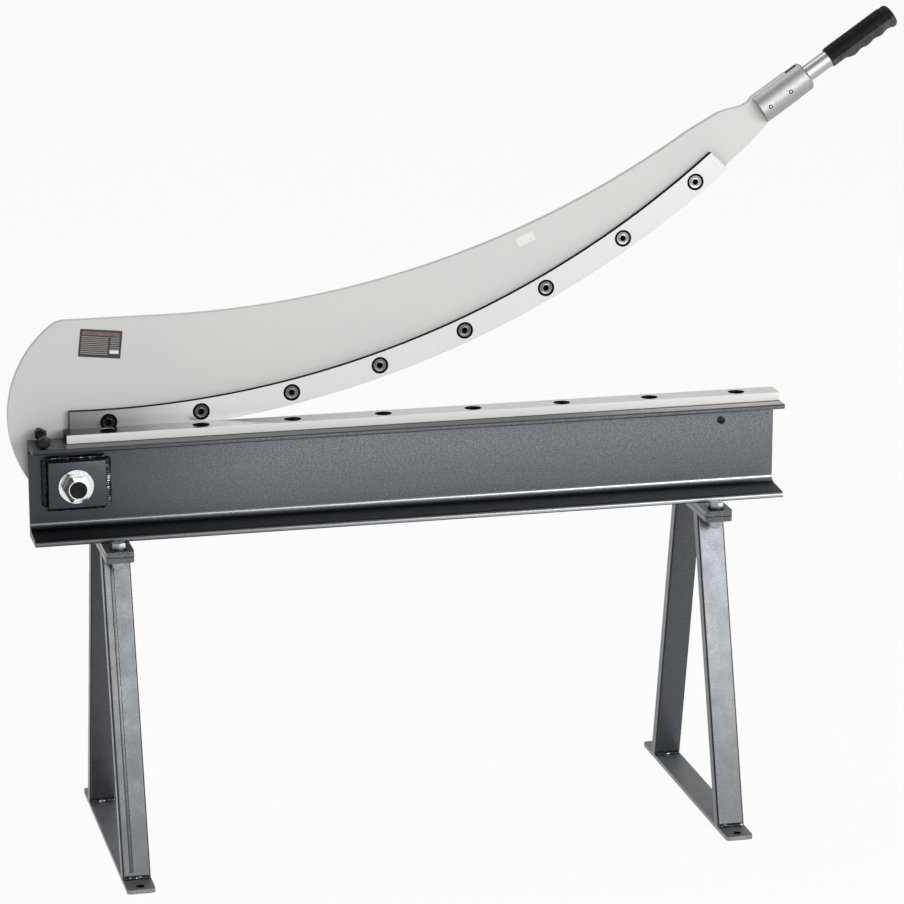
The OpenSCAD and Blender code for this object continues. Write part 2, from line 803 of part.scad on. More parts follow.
module arm_plate() {
    color("lightgray")
        difference() {
            translate([pivot_x, 0, 0])
                upright(arm_y, arm_t)
                    polygon(arm_outline);
            bar_y(pivot_x, arm_y - over, pivot_z, bush_r, arm_t + 2 * over);
            bar_y(pivot_x - stop_x, arm_y - over, stop_z, stop_d / 2, arm_t + 2 * over);
            at_upper_screws()
                translate([0, 0, -upper_blade_t - arm_t - over])
                    cylinder(r = blade_screw_d / 2 + hole_gap, h = arm_t + 2 * over);
            on_handle_axis()
                pin_bars(arm_t + 2 * over);
        }
}

module pivot_bush() {
    color("darkgoldenrod")
        difference() {
            bar_y(pivot_x, arm_y, pivot_z, bush_r, arm_t);
            bar_y(pivot_x, arm_y - over, pivot_z, pivot_d / 2 + pivot_fit, arm_t + 2 * over);
        }
}

module upper_blade() {
    color("whitesmoke")
        difference() {
            translate([pivot_x + cut_c_x, upper_blade_y + upper_blade_t, cut_c_z])
                rotate([90, 0, 0])
                    rotate([0, 0, blade_start - 90])
                        rotate_extrude(angle = blade_sweep, $fn = 360)
                            translate([cut_r - upper_blade_w, 0])
                                square([upper_blade_w, upper_blade_t]);
            translate([pivot_x + blade_tip[0], upper_blade_y - over, blade_tip[1]])
                rotate([0, 90 - blade_end_angle - tip_cut, 0])
                    translate([-far, 0, 0])
                        cube([2 * far, upper_blade_t + 2 * over, far]);
            at_upper_screws()
                blade_screw_seat(upper_blade_t + over);
        }
}

module upper_blade_screws() {
    color("black")
        at_upper_screws()
            translate([0, 0, -screw_sink])
                blade_screw(upper_blade_t + arm_t + bolt_nut_t + bolt_end - screw_sink);
}

module upper_blade_nuts() {
    color("silver")
        at_upper_screws()
            translate([0, 0, -upper_blade_t - arm_t - bolt_nut_t])
                difference() {
                    cylinder(r = hex_r(bolt_af), h = bolt_nut_t, $fn = 6);
                    translate([0, 0, -over])
                        cylinder(d = blade_screw_d, h = bolt_nut_t + 2 * over);
                }
}

module handle_socket() {
    bore_start = tongue_l + rod_clear;
    slot_w = arm_t + 2 * slot_gap;
    slot_end = socket_l - socket_chamfer - slot_rim;
    color("silver")
        on_handle_axis()
            difference() {
                union() {
                    cylinder(d = socket_d, h = socket_l - socket_chamfer);
                    translate([0, 0, socket_l - socket_chamfer])
                        cylinder(d1 = socket_d, d2 = socket_d - 2 * socket_chamfer, h = socket_chamfer);
                }
                translate([0, 0, bore_start])
                    cylinder(d = rod_d, h = socket_l);
                translate([-socket_d, -slot_w / 2, -over])
                    cube([2 * socket_d, slot_w, tongue_l + slot_gap + over]);
                translate([-socket_d, -slot_w / 2, -over])
                    cube([socket_d, slot_w, slot_end + over]);
                pin_bars(socket_d + 2 * over);
            }
}

module socket_pins() {
    color("dimgray")
        on_handle_axis()
            pin_bars(socket_d - 2 * pin_sink);
}

module handle_rod() {
    rod_start = tongue_l + rod_clear;
    color("silver")
        on_handle_axis()
            translate([0, 0, rod_start])
                cylinder(d = rod_d, h = grip_end - grip_cap - rod_start);
}

// Half section of the grip's finger side: a ramp, waves between the fingers and a round collar
finger_from = finger_start + finger_ramp;
finger_to = grip_l - collar_l;
function finger_wave_at(s) = finger_d / 2 + finger_wave * cos(360 * (s - finger_first) / finger_pitch);
finger_section = concat(
    [[0, finger_start], [grip_d / 2 - grip_drop, finger_start]],
    [for (i = [0:mid_steps])
        let (s = finger_from + (finger_to - finger_from) * i / mid_steps)
            [finger_wave_at(s), s]],
    [[collar_d / 2, finger_to + grip_round / 2]],
    arc([collar_d / 2 - grip_round, grip_l - grip_round], grip_round, 0, 90, small_steps),
    [[0, grip_l]]);

module handle_grip() {
    color("black")
        on_handle_axis()
            difference() {
                union() {
                    translate([0, 0, grip_start])
                        cylinder(d = grip_d, h = grip_l - collar_l);
                    translate([grip_drop, 0, grip_start])
                        rotate_extrude()
                            polygon(finger_section);
                }
                translate([0, 0, grip_start - over])
                    cylinder(d = rod_d, h = grip_l - grip_cap + over);
            }
}

module stop_bolt() {
    color("dimgray") {
        hex_y(pivot_x - stop_x, stop_front_y, stop_z, stop_af, stop_head_t);
        bar_y(pivot_x - stop_x, stop_front_y, stop_z, stop_d / 2, arm_back_y + stop_nut_t + bolt_end - stop_front_y);
    }
}

module stop_nuts() {
    color("dimgray")
        for (y = [stop_nut_y, arm_back_y])
            difference() {
                hex_y(pivot_x - stop_x, y, stop_z, stop_af, stop_nut_t);
                bar_y(pivot_x - stop_x, y - over, stop_z, stop_d / 2, stop_nut_t + 2 * over);
            }
}

// A thin plate on the arm's front face, with its middle at x from the pivot and z above the table
module label(x, z, tilt, w, h) {
    translate([pivot_x + x, 0, table_z + z])
        rotate([0, -tilt, 0])
            translate([-w / 2, arm_y - label_t, -h / 2])
                cube([w, label_t, h]);
}

module nameplate() {
    color("dimgray")
        label(nameplate_x, nameplate_z, nameplate_tilt, nameplate_w, nameplate_h);
}

module small_label() {
    color("white")
        label(label_x, label_z, label_tilt, label_w, label_h);
}

beam();
pivot_block();
pivot_block_weld();
pivot_spacer();
pivot_bolt();
pivot_washers();
pivot_nut();
lower_blade();
lower_blade_screws();
web_screw();
left_pad_plate();
left_top_plate();
left_front_leg();
left_back_leg();
left_foot();
left_stand_welds();
left_stand_bolts();
left_stand_washers();
left_stand_nuts();
right_pad_plate();
right_top_plate();
right_front_leg();
right_back_leg();
right_foot();
right_stand_welds();
right_stand_bolts();
right_stand_washers();
right_stand_nuts();
arm_plate();
pivot_bush();
upper_blade();
upper_blade_screws();
upper_blade_nuts();
handle_socket();
socket_pins();
handle_rod();
handle_grip();
stop_bolt();
stop_nuts();
nameplate();
small_label();
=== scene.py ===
"""Manual guillotine shear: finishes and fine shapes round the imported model.

Sizes in the classes are millimetres. The scene itself is in metres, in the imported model's frame:
X along the beam, Y from front to back, Z up.
"""

from __future__ import annotations

import logging
import math
from dataclasses import dataclass, field
from enum import Enum
from typing import Callable, Sequence

import bpy
from mathutils import Matrix, Vector

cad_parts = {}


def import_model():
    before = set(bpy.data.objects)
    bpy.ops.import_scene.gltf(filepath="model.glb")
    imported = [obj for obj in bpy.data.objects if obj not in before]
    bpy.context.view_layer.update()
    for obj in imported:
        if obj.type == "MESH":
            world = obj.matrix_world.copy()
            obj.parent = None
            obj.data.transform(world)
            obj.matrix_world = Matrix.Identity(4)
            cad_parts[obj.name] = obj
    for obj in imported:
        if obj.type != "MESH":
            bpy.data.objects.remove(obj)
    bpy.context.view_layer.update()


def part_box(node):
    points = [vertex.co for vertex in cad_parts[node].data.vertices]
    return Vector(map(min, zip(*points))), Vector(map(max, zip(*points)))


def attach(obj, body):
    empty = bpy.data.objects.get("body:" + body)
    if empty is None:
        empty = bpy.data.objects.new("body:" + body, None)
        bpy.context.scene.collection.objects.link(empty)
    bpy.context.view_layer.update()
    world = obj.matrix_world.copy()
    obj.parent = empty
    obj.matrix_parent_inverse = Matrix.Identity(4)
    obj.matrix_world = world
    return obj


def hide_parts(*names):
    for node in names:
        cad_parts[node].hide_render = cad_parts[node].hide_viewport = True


LOG = logging.getLogger("shear")
MM = 0.001
RIGHT_ANGLE = math.radians(90)
HALF_TURN = math.radians(180)
HEXAGON_ANGLE = math.radians(30)
OVERRUN = 1.0
LEFT_STAND_X = -515.473
RIGHT_STAND_X = 357.427

# A direction that points along an axis by more than this counts as along it.
SQUARE_ON = 0.9
# Faces round a turned piece, from the finest to the coarsest.
FINE, MEDIUM, PLAIN, COARSE = 96, 64, 48, 32
# Edges sharper than this stay crisp on welds and rubber, in degrees.
SOFT_ANGLE = 60.0
HEXAGON_SIDES = 6
SMOOTHING = 0.5
SAME_SIZE = 1e-6
EDGE_SAMPLES = 6
CELL_SMOOTHNESS = 0.6

# Sockets of a node that mixes two colours.
MIX_SHARE, MIX_FIRST, MIX_SECOND, MIX_RESULT = 0, 6, 7, 2

# The curve between a screen's levels and linear light.
FULL_LEVEL = 255
DARK_LEVEL = 0.04045
DARK_SLOPE = 12.92
LIFT = 0.055
GAMMA = 2.4

Colour = tuple[float, float, float, float]
Triple = tuple[float, float, float]
Pair = tuple[float, float]
Profile = Sequence[Pair]
Piece = bpy.types.Object
Socket = bpy.types.NodeSocket
Material = bpy.types.Material


def shade(red: float, green: float, blue: float) -> Colour:
    """A colour as a screen shows it, from 0 to 255, as the shader's own numbers.

    Args:
        red: Red level.
        green: Green level.
        blue: Blue level.

    Returns:
        The colour in linear light.
    """
    def linear(level: float) -> float:
        """One level in linear light."""
        share = level / FULL_LEVEL
        return (share / DARK_SLOPE if share <= DARK_LEVEL
                else ((share + LIFT) / (1 + LIFT)) ** GAMMA)

    return linear(red), linear(green), linear(blue), 1.0


def metres(x: float, y: float, z: float) -> Vector:
    """A place or a size in metres, from millimetres."""
    return Vector((x, y, z)) * MM


def moved(x: float, y: float, z: float) -> Matrix:
    """A shift, from millimetres."""
    return Matrix.Translation(metres(x, y, z))


def tipped(angle: float, axis: str) -> Matrix:
    """A turn about an axis, from radians."""
    return Matrix.Rotation(angle, 4, axis)


def to_front(x: float, y: float, z: float) -> Matrix:
    """A place where a piece's Z points to the front, from millimetres."""
    return moved(x, y, z) @ tipped(RIGHT_ANGLE, "X")


def computed(tree: bpy.types.NodeTree, operation: str, first: Socket,
             second: Socket | float) -> Socket:
    """A sum of arithmetic on two values.

    Args:
        tree: The nodes that it joins.
        operation: Name of the operation.
        first: First value.
        second: Second value or number.

    Returns:
        The result.
    """
    maths = tree.nodes.new("ShaderNodeMath")
    maths.operation = operation
    tree.links.new(first, maths.inputs[0])
    if isinstance(second, (int, float)):
        maths.inputs[1].default_value = second
    else:
        tree.links.new(second, maths.inputs[1])
    return maths.outputs["Value"]


class Body(Enum):
    """The two bodies of the machine."""

    FRAME = "frame"
    ARM = "arm"


class Slot(Enum):
    """The record's material slots."""

    BEAM_PAINT = "beam_paint"
    STAND_PAINT = "stand_paint"
    ARM_PAINT = "arm_paint"
    BLADE_STEEL = "blade_steel"
    BLACK_STEEL = "black_steel"
    ZINC = "zinc"
    DARK_ZINC = "dark_zinc"
    TURNED_STEEL = "turned_steel"
    WELD_METAL = "weld_metal"
    BRONZE = "bronze"
    GRIP_RUBBER = "grip_rubber"
    NAMEPLATE_FACE = "nameplate_face"
    LABEL_FACE = "label_face"


class Pick(Enum):
    """What a selection in edit mode holds."""

    EDGES = (False, True, False)
    FACES = (False, False, True)


class Cut(Enum):
    """What a tool does to the solid that it meets."""

    KEEP_COMMON = "INTERSECT"
    TAKE_AWAY = "DIFFERENCE"


@dataclass(frozen=True)
class Ramp:
    """A range of values, and the results at its two ends."""

    low: float
    high: float
    start: float = 0.0
    end: float = 1.0

    def raised(self, level: float) -> Ramp:
        """The same ramp, with both results raised by a level."""
        return Ramp(self.low, self.high, self.start + level, self.end + level)


class Recipe:
    """The node tree of one finish, built a step at a time."""

    def __init__(self, name: str, roughness: float, metallic: float = 0.0) -> None:
        """Starts a material.

        Args:
            name: Name of the material.
            roughness: Roughness of the whole surface.
            metallic: Share of bare metal in the surface.
        """
        self.material = bpy.data.materials.new(name)
        self.material.use_nodes = True
        self.tree = self.material.node_tree
        self.nodes, self.links = self.tree.nodes, self.tree.links
        self.shader = self.nodes["Principled BSDF"]
        self.shader.inputs["Roughness"].default_value = roughness
        self.shader.inputs["Metallic"].default_value = metallic
        coordinates = self.nodes.new("ShaderNodeTexCoord")
        self.place = coordinates.outputs["Object"]
        self.facing = coordinates.outputs["Normal"]

    def noise(self, scale: float, detail: float = 3.0, stretch: Triple | None = None) -> Socket:
        """Soft clouds.

        Args:
            scale: Clouds per metre.
            detail: Levels of finer clouds.
            stretch: Factors along the axes, or None.

        Returns:
            A value from 0 to 1.
        """
        clouds = self.nodes.new("ShaderNodeTexNoise")
        clouds.inputs["Scale"].default_value = scale
        clouds.inputs["Detail"].default_value = detail
        source = self.place
        if stretch:
            mapping = self.nodes.new("ShaderNodeMapping")
            mapping.inputs["Scale"].default_value = stretch
            self.links.new(source, mapping.inputs["Vector"])
            source = mapping.outputs["Vector"]
        self.links.new(source, clouds.inputs["Vector"])
        return clouds.outputs["Fac"]

    def cells(self, scale: float) -> Socket:
        """Rounded cells, as hammered paint has.

        Args:
            scale: Cells per metre.

        Returns:
            The distance from a cell's middle.
        """
        voronoi = self.nodes.new("ShaderNodeTexVoronoi")
        voronoi.feature = "SMOOTH_F1"
        voronoi.inputs["Scale"].default_value = scale
        voronoi.inputs["Smoothness"].default_value = CELL_SMOOTHNESS
        self.links.new(self.place, voronoi.inputs["Vector"])
        return voronoi.outputs["Distance"]

    def along(self, axis: str, source: Socket | None = None) -> Socket:
        """One coordinate of the place on the piece, or of another vector.

        Args:
            axis: X, Y or Z.
            source: The vector, or None for the place.

        Returns:
            The coordinate.
        """
        split = self.nodes.new("ShaderNodeSeparateXYZ")
        self.links.new(source or self.place, split.inputs["Vector"])
        return split.outputs[axis]

    def graded(self, value: Socket, ramp: Ramp, unit: float = 1.0) -> Socket:
        """A value moved smoothly from one range to another, and kept inside it.

        Args:
            value: The value.
            ramp: Its range, and the results at both ends.
            unit: What the range's own two numbers are multiplied by.

        Returns:
            The result.
        """
        ranged = self.nodes.new("ShaderNodeMapRange")
        ranged.interpolation_type = "SMOOTHSTEP"
        for name, number in (("From Min", ramp.low * unit), ("From Max", ramp.high * unit),
                             ("To Min", ramp.start), ("To Max", ramp.end)):
            ranged.inputs[name].default_value = number
        self.links.new(value, ranged.inputs["Value"])
        return ranged.outputs["Result"]

    def placed(self, axis: str, ramp: Ramp) -> Socket:
        """The place along an axis, graded over a range in millimetres."""
        return self.graded(self.along(axis), ramp, MM)

    def faced(self, axis: str, ramp: Ramp, either_way: bool = False) -> Socket:
        """How far the surface faces along an axis, graded."""
        facing = self.along(axis, self.facing)
        return self.graded(self.computed("ABSOLUTE", facing) if either_way else facing, ramp)

    def computed(self, operation: str, first: Socket, second: Socket | float = 0.0) -> Socket:
        """A sum of arithmetic on two values of this finish."""
        return computed(self.tree, operation, first, second)

    def both(self, first: Socket, second: Socket) -> Socket:
        """The share of the surface that two shares have in common."""
        return self.computed("MULTIPLY", first, second)

    def weighed(self, x: float, z: float) -> Socket:
        """The place along a sloping direction."""
        return self.computed("ADD", self.computed("MULTIPLY", self.along("X"), x),
                             self.computed("MULTIPLY", self.along("Z"), z))

    def mixed(self, share: Socket, first: Colour | Socket, second: Colour | Socket) -> Socket:
        """One colour at a share of 0, the other at 1.

        Args:
            share: The share of the second colour.
            first: First colour.
            second: Second colour.

        Returns:
            The mixed colour.
        """
        mix = self.nodes.new("ShaderNodeMix")
        mix.data_type = "RGBA"
        self.links.new(share, mix.inputs[MIX_SHARE])
        for number, colour in ((MIX_FIRST, first), (MIX_SECOND, second)):
            if isinstance(colour, tuple):
                mix.inputs[number].default_value = colour
            else:
                self.links.new(colour, mix.inputs[number])
        return mix.outputs[MIX_RESULT]

    def coloured(self, colour: Socket) -> None:
        """Gives the surface its colour."""
        self.links.new(colour, self.shader.inputs["Base Color"])

    def roughened(self, value: Socket) -> None:
        """Gives the surface a roughness that varies."""
        self.links.new(value, self.shader.inputs["Roughness"])

    def smeared(self, scale: float, ramp: Ramp, roughness: float) -> None:
        """Gives the surface a roughness that varies in soft patches."""
        self.roughened(self.graded(self.noise(scale), ramp.raised(roughness)))

    def plated(self, value: Socket) -> None:
        """Gives the surface a share of bare metal that varies."""
        self.links.new(value, self.shader.inputs["Metallic"])

    def glossy(self, level: float) -> None:
        """Gives the surface its level of gloss."""
        self.shader.inputs["Specular IOR Level"].default_value = level

    def embossed(self, layers: Sequence[tuple[Socket, float, float]], edge: float = 0.0) -> None:
        """Gives the surface its fine relief, over softly rounded edges.

        Args:
            layers: Height, strength and depth in millimetres of each layer.
            edge: Radius of the edges in millimetres, or zero.
        """
        last = None
        if edge:
            rounded = self.nodes.new("ShaderNodeBevel")
            rounded.samples = EDGE_SAMPLES
            rounded.inputs["Radius"].default_value = edge * MM
            last = rounded.outputs["Normal"]
        for height, strength, depth in layers:
            bump = self.nodes.new("ShaderNodeBump")
            bump.inputs["Strength"].default_value = strength
            bump.inputs["Distance"].default_value = depth * MM
            self.links.new(height, bump.inputs["Height"])
            if last:
                self.links.new(last, bump.inputs["Normal"])
            last = bump.outputs["Normal"]
        if last:
            self.links.new(last, self.shader.inputs["Normal"])


class Finish:
    """What every finish has: a name, how rough and metallic it is, and the way it is made."""

    name: str
    roughness: float
    metallic: float = 0.0

    def make(self) -> Material:
        """Makes the material.

        Returns:
            The material.
        """
        recipe = Recipe(self.name, self.roughness, self.metallic)
        self.dress(recipe)
        return recipe.material

    def dress(self, recipe: Recipe) -> None:
        """Gives the surface its looks."""
        raise NotImplementedError


@dataclass(frozen=True)
class HammeredPaint(Finish):
    """Metallic paint with the shallow dimples of a hammered coat."""

    name: str
    dark: Colour
    light: Colour
    metallic: float = 0.94
    roughness: float = 0.36
    smears: float = 38.0
    smear_range: Ramp = Ramp(0.25, 0.75, -0.05, 0.05)
    cells: float = 420.0
    mottle: float = 1.1
    mottle_detail: float = 4.0
    mottle_range: Ramp = Ramp(0.3, 0.7)
    relief: float = 0.10
    dimple: float = 0.7
    fine_cells: float = 3.0
    fine_detail: float = 2.0
    fine_share: float = 0.5
    edge: float = 0.7

    def dress(self, recipe: Recipe) -> None:
        """Gives the surface its looks."""
        self.paint(recipe, self.coat(recipe))

    def coat(self, recipe: Recipe) -> Socket:
        """The paint's mottled colour."""
        mottle = recipe.noise(self.cells * self.mottle, self.mottle_detail)
        return recipe.mixed(recipe.graded(mottle, self.mottle_range), self.dark, self.light)

    def paint(self, recipe: Recipe, colour: Socket) -> None:
        """Puts the colour, gloss and dimples on the surface.

        Args:
            recipe: The material in the making.
            colour: Its colour.
        """
        recipe.coloured(colour)
        recipe.smeared(self.smears, self.smear_range, self.roughness)
        fine = recipe.noise(self.cells * self.fine_cells, self.fine_detail)
        recipe.embossed([(recipe.cells(self.cells), self.relief, self.dimple),
                         (fine, self.relief * self.fine_share, self.dimple * self.fine_share)],
                        self.edge)


@dataclass(frozen=True)
class BeamPaint(HammeredPaint):
    """The beam's hammered paint, with a bare strip on the flange before the blade.

    It has painted shade towards the pivot's end and on its lower half. The upper side and the front
    of the lower flange and the sawn ends have painted shade, and that flange's toe and the fillet
    above it have painted highlights.
    """

    strip: Colour = shade(200, 195, 190)
    strip_dark: Colour = shade(113, 114, 112)
    strip_metallic: float = 0.35
    strip_roughness: float = 0.6
    strip_top: Ramp = Ramp(599.4, 599.6)
    strip_front: Ramp = Ramp(-37.4, -36.8)
    strip_left: Ramp = Ramp(-581.0, -577.0)
    # The bare strip is darker to the left and lighter to the right.
    strip_lighter_to_right: Ramp = Ramp(60.0, 420.0)
    scratches: float = 900.0
    scratch_detail: float = 4.0
    scratch_stretch: Triple = (0.02, 1.0, 1.0)
    scratch_range: Ramp = Ramp(0.3, 0.8, 0.0, 0.4)
    # A dark line on the bare strip along the blade's foot: oil, with painted contact shadow.
    oil_and_contact_shade: Colour = shade(40, 40, 40)
    oil_and_contact_shade_range: Ramp = Ramp(-19.0, -17.0)
    grain: float = 560.0
    grain_stretch: Triple = (0.6, 1.0, 1.0)
    grain_range: Ramp = Ramp(0.36, 0.64)
    shadow: Colour = shade(82, 86, 90)
    shadow_range: Ramp = Ramp(500.0, 575.0, 0.42, 0.0)
    bands: float = 9.0
    band_stretch: Triple = (0.12, 1.0, 1.0)
    band_range: Ramp = Ramp(0.4, 0.65, 0.0, 0.3)
    # Painted shade, growing towards the pivot's end.
    pivot_end_shade: Colour = shade(62, 66, 70)
    pivot_end_shade_range: Ramp = Ramp(-640.0, -250.0)
    # Painted shade on the lower flange's upper side and front, and on the sawn ends.
    flange_shade: Colour = shade(34, 37, 40)
    ledge_top: Ramp = Ramp(478.0, 482.0, 1.0, 0.0)
    ledge_upward: Ramp = Ramp(0.75, 0.97)
    toe_front: Ramp = Ramp(-38.3, -38.0, 1.0, 0.0)
    rim: Colour = shade(60, 62, 64)
    rim_top: Ramp = Ramp(598.0, 598.4)
    rim_front: Ramp = Ramp(-37.4, -36.8, 1.0, 0.0)
    sawn_end: Ramp = Ramp(-0.97, -0.8, 1.0, 0.0)
    # Painted highlights on the lower flange's toe and on the fillet above it.
    painted_highlight: Colour = shade(182, 185, 188)
    painted_highlight_range: Ramp = Ramp(-640.0, 420.0, 0.2, 0.85)
    toe_low: Ramp = Ramp(460.8, 461.4)
    toe_high: Ramp = Ramp(464.4, 465.2, 1.0, 0.0)
    fillet_low: Ramp = Ramp(0.12, 0.2)
    fillet_high: Ramp = Ramp(0.28, 0.36, 1.0, 0.0)
    fillet_top: Ramp = Ramp(500.0, 520.0, 1.0, 0.0)

    def coat(self, recipe: Recipe) -> Socket:
        """The paint's mottled colour, with faint long bands and painted shade on its lower half.

        Args:
            recipe: The material in the making.

        Returns:
            The colour.
        """
        grain = recipe.noise(self.grain, stretch=self.grain_stretch)
        coat = recipe.mixed(recipe.graded(grain, self.grain_range), self.dark, self.light)
        bands = recipe.graded(recipe.noise(self.bands, stretch=self.band_stretch), self.band_range)
        lower = recipe.placed("Z", self.shadow_range)
        return recipe.mixed(recipe.computed("MAXIMUM", bands, lower), coat, self.shadow)

    def dress(self, recipe: Recipe) -> None:
        """Gives the surface its looks.

        Args:
            recipe: The material in the making.
        """
        bare = recipe.both(recipe.both(recipe.placed("Z", self.strip_top),
                                       recipe.placed("Y", self.strip_front)),
                           recipe.placed("X", self.strip_left))
        scratched = recipe.noise(self.scratches, self.scratch_detail, self.scratch_stretch)
        tint = recipe.mixed(recipe.placed("X", self.strip_lighter_to_right), self.strip_dark, self.strip)
        metal = recipe.mixed(recipe.graded(scratched, self.scratch_range), tint, self.strip_dark)
        metal = recipe.mixed(recipe.placed("Y", self.oil_and_contact_shade_range), metal, self.oil_and_contact_shade)
        self.paint(recipe, recipe.mixed(bare, self.coat_with_painted_light(recipe), metal))
        recipe.plated(recipe.graded(bare, Ramp(0.0, 1.0, self.metallic, self.strip_metallic)))
        recipe.roughened(recipe.graded(bare, Ramp(0.0, 1.0, self.roughness, self.strip_roughness)))

    def coat_with_painted_light(self, recipe: Recipe) -> Socket:
        """The coat with its painted shade, the dark edge line and the painted highlights.

        Args:
            recipe: The material in the making.

        Returns:
            The colour.
        """
        coat = recipe.mixed(recipe.placed("X", self.pivot_end_shade_range), self.pivot_end_shade, self.coat(recipe))
        low = recipe.placed("Z", self.ledge_top)
        low_front = recipe.both(recipe.placed("Y", self.toe_front), low)
        rim = recipe.both(recipe.placed("Z", self.rim_top), recipe.placed("Y", self.rim_front))
        for share, colour in ((recipe.both(low, recipe.faced("Z", self.ledge_upward)), self.flange_shade),
                              (low_front, self.flange_shade), (rim, self.rim),
                              (recipe.faced("X", self.sawn_end), self.flange_shade),
                              (self.highlight_share(recipe, low_front), self.painted_highlight)):
            coat = recipe.mixed(share, coat, colour)
        return coat

    def highlight_share(self, recipe: Recipe, low_front: Socket) -> Socket:
        """Where the lower flange's toe and the fillet above it get painted highlights.

        Args:
            recipe: The material in the making.
            low_front: 1 on the lower flange's front edge, else 0.

        Returns:
            The share of painted highlight.
        """
        toe = recipe.both(low_front, recipe.both(recipe.placed("Z", self.toe_low),
                                                 recipe.placed("Z", self.toe_high)))
        fillet = recipe.both(recipe.both(recipe.faced("Z", self.fillet_low),
                                         recipe.faced("Z", self.fillet_high)),
                             recipe.placed("Z", self.fillet_top))
        return recipe.both(recipe.computed("MAXIMUM", toe, fillet),
                           recipe.placed("X", self.painted_highlight_range))


@dataclass(frozen=True)
class WeldPaint(HammeredPaint):
    """Paint over a weld, with painted highlights: bright spots scattered by noise, as glints on its
    ripples.
    """

    cells: float = 500.0
    mottle: float = 0.34
    mottle_detail: float = 2.0
    mottle_range: Ramp = Ramp(0.55, 0.72)
    edge: float = 0.0


@dataclass(frozen=True)
class PlatePaint(HammeredPaint):
    """Paint of the flat plates, with painted highlights in patches along their edges and painted
    shade in the anchor holes.
    """

    # Painted highlights along the plates' edges, in patches.
    wear_and_highlight: Colour = shade(232, 234, 236)
    edge_highlight_low: Ramp = Ramp(0.25, 0.5)
    edge_highlight_high: Ramp = Ramp(0.8, 0.95, 1.0, 0.0)
    patches: float = 90.0
    patch_range: Ramp = Ramp(0.3, 0.6, 0.35, 0.85)
    # Painted shade in the anchor holes.
    hole_shade: Colour = shade(12, 12, 13)
    hole_x: float = 0.0
    hole_y: float = 199.5
    hole_reach: float = 5.8
    hole_range: Ramp = Ramp(1.0, 1.1, 1.0, 0.0)

    def dress(self, recipe: Recipe) -> None:
        """Gives the surface its looks.

        Args:
            recipe: The material in the making.
        """
        edge = recipe.both(recipe.faced("Z", self.edge_highlight_low, True),
                           recipe.faced("Z", self.edge_highlight_high, True))
        patchy = recipe.graded(recipe.noise(self.patches), self.patch_range)
        colour = recipe.mixed(recipe.both(edge, patchy), self.coat(recipe), self.wear_and_highlight)
        across = recipe.computed("SUBTRACT", recipe.along("X"), self.hole_x * MM)
        behind = recipe.computed("SUBTRACT", recipe.computed("ABSOLUTE", recipe.along("Y")),
                                 self.hole_y * MM)
        squares = recipe.computed("ADD", recipe.both(across, across), recipe.both(behind, behind))
        hole = recipe.graded(squares, self.hole_range, (self.hole_reach * MM) ** 2)
        self.paint(recipe, recipe.mixed(hole, colour, self.hole_shade))


@dataclass(frozen=True)
class TubePaint(HammeredPaint):
    """Smooth metallic paint with painted shade on the rounded corners of a tube, on faces that tilt
    down and towards the bottom.
    """

    # Painted shade: on the rounded corners, on faces that tilt down and towards the bottom.
    corner: Colour = shade(26, 28, 30)
    corner_shade_low: Ramp = Ramp(0.2, 0.5, 0.0, 0.85)
    corner_shade_high: Ramp = Ramp(0.85, 0.98, 1.0, 0.0)
    under: Ramp = Ramp(-0.2, -0.1, 0.3, 0.0)
    foot_end: Ramp = Ramp(40.0, 260.0, 0.25, 0.0)

    def dress(self, recipe: Recipe) -> None:
        """Gives the surface its looks.

        Args:
            recipe: The material in the making.
        """
        band = recipe.both(recipe.faced("X", self.corner_shade_low, True),
                           recipe.faced("X", self.corner_shade_high, True))
        darker = recipe.computed("MAXIMUM", recipe.faced("Z", self.under),
                                 recipe.placed("Z", self.foot_end))
        coat = recipe.mixed(darker, self.coat(recipe), self.corner)
        self.paint(recipe, recipe.mixed(band, coat, self.corner))


@dataclass(frozen=True)
class SatinPaint(Finish):
    """Even satin paint with a trace of orange peel."""

    name: str
    base: Colour
    deep: Colour
    clouds: float = 3.5
    cloud_detail: float = 2.0
    cloud_range: Ramp = Ramp(0.25, 0.8)
    roughness: float = 0.42
    metallic: float = 0.0
    smears: float = 60.0
    smear_range: Ramp = Ramp(0.2, 0.8, -0.04, 0.05)
    peel: float = 700.0
    peel_detail: float = 2.0
    relief: float = 0.10
    depth: float = 0.3
    edge: float = 0.8

    def dress(self, recipe: Recipe) -> None:
        """Gives the surface its looks.

        Args:
            recipe: The material in the making.
        """
        clouds = recipe.graded(recipe.noise(self.clouds, self.cloud_detail), self.cloud_range)
        recipe.coloured(recipe.mixed(clouds, self.base, self.deep))
        recipe.smeared(self.smears, self.smear_range, self.roughness)
        recipe.embossed([(recipe.noise(self.peel, self.peel_detail), self.relief, self.depth)],
                        self.edge)


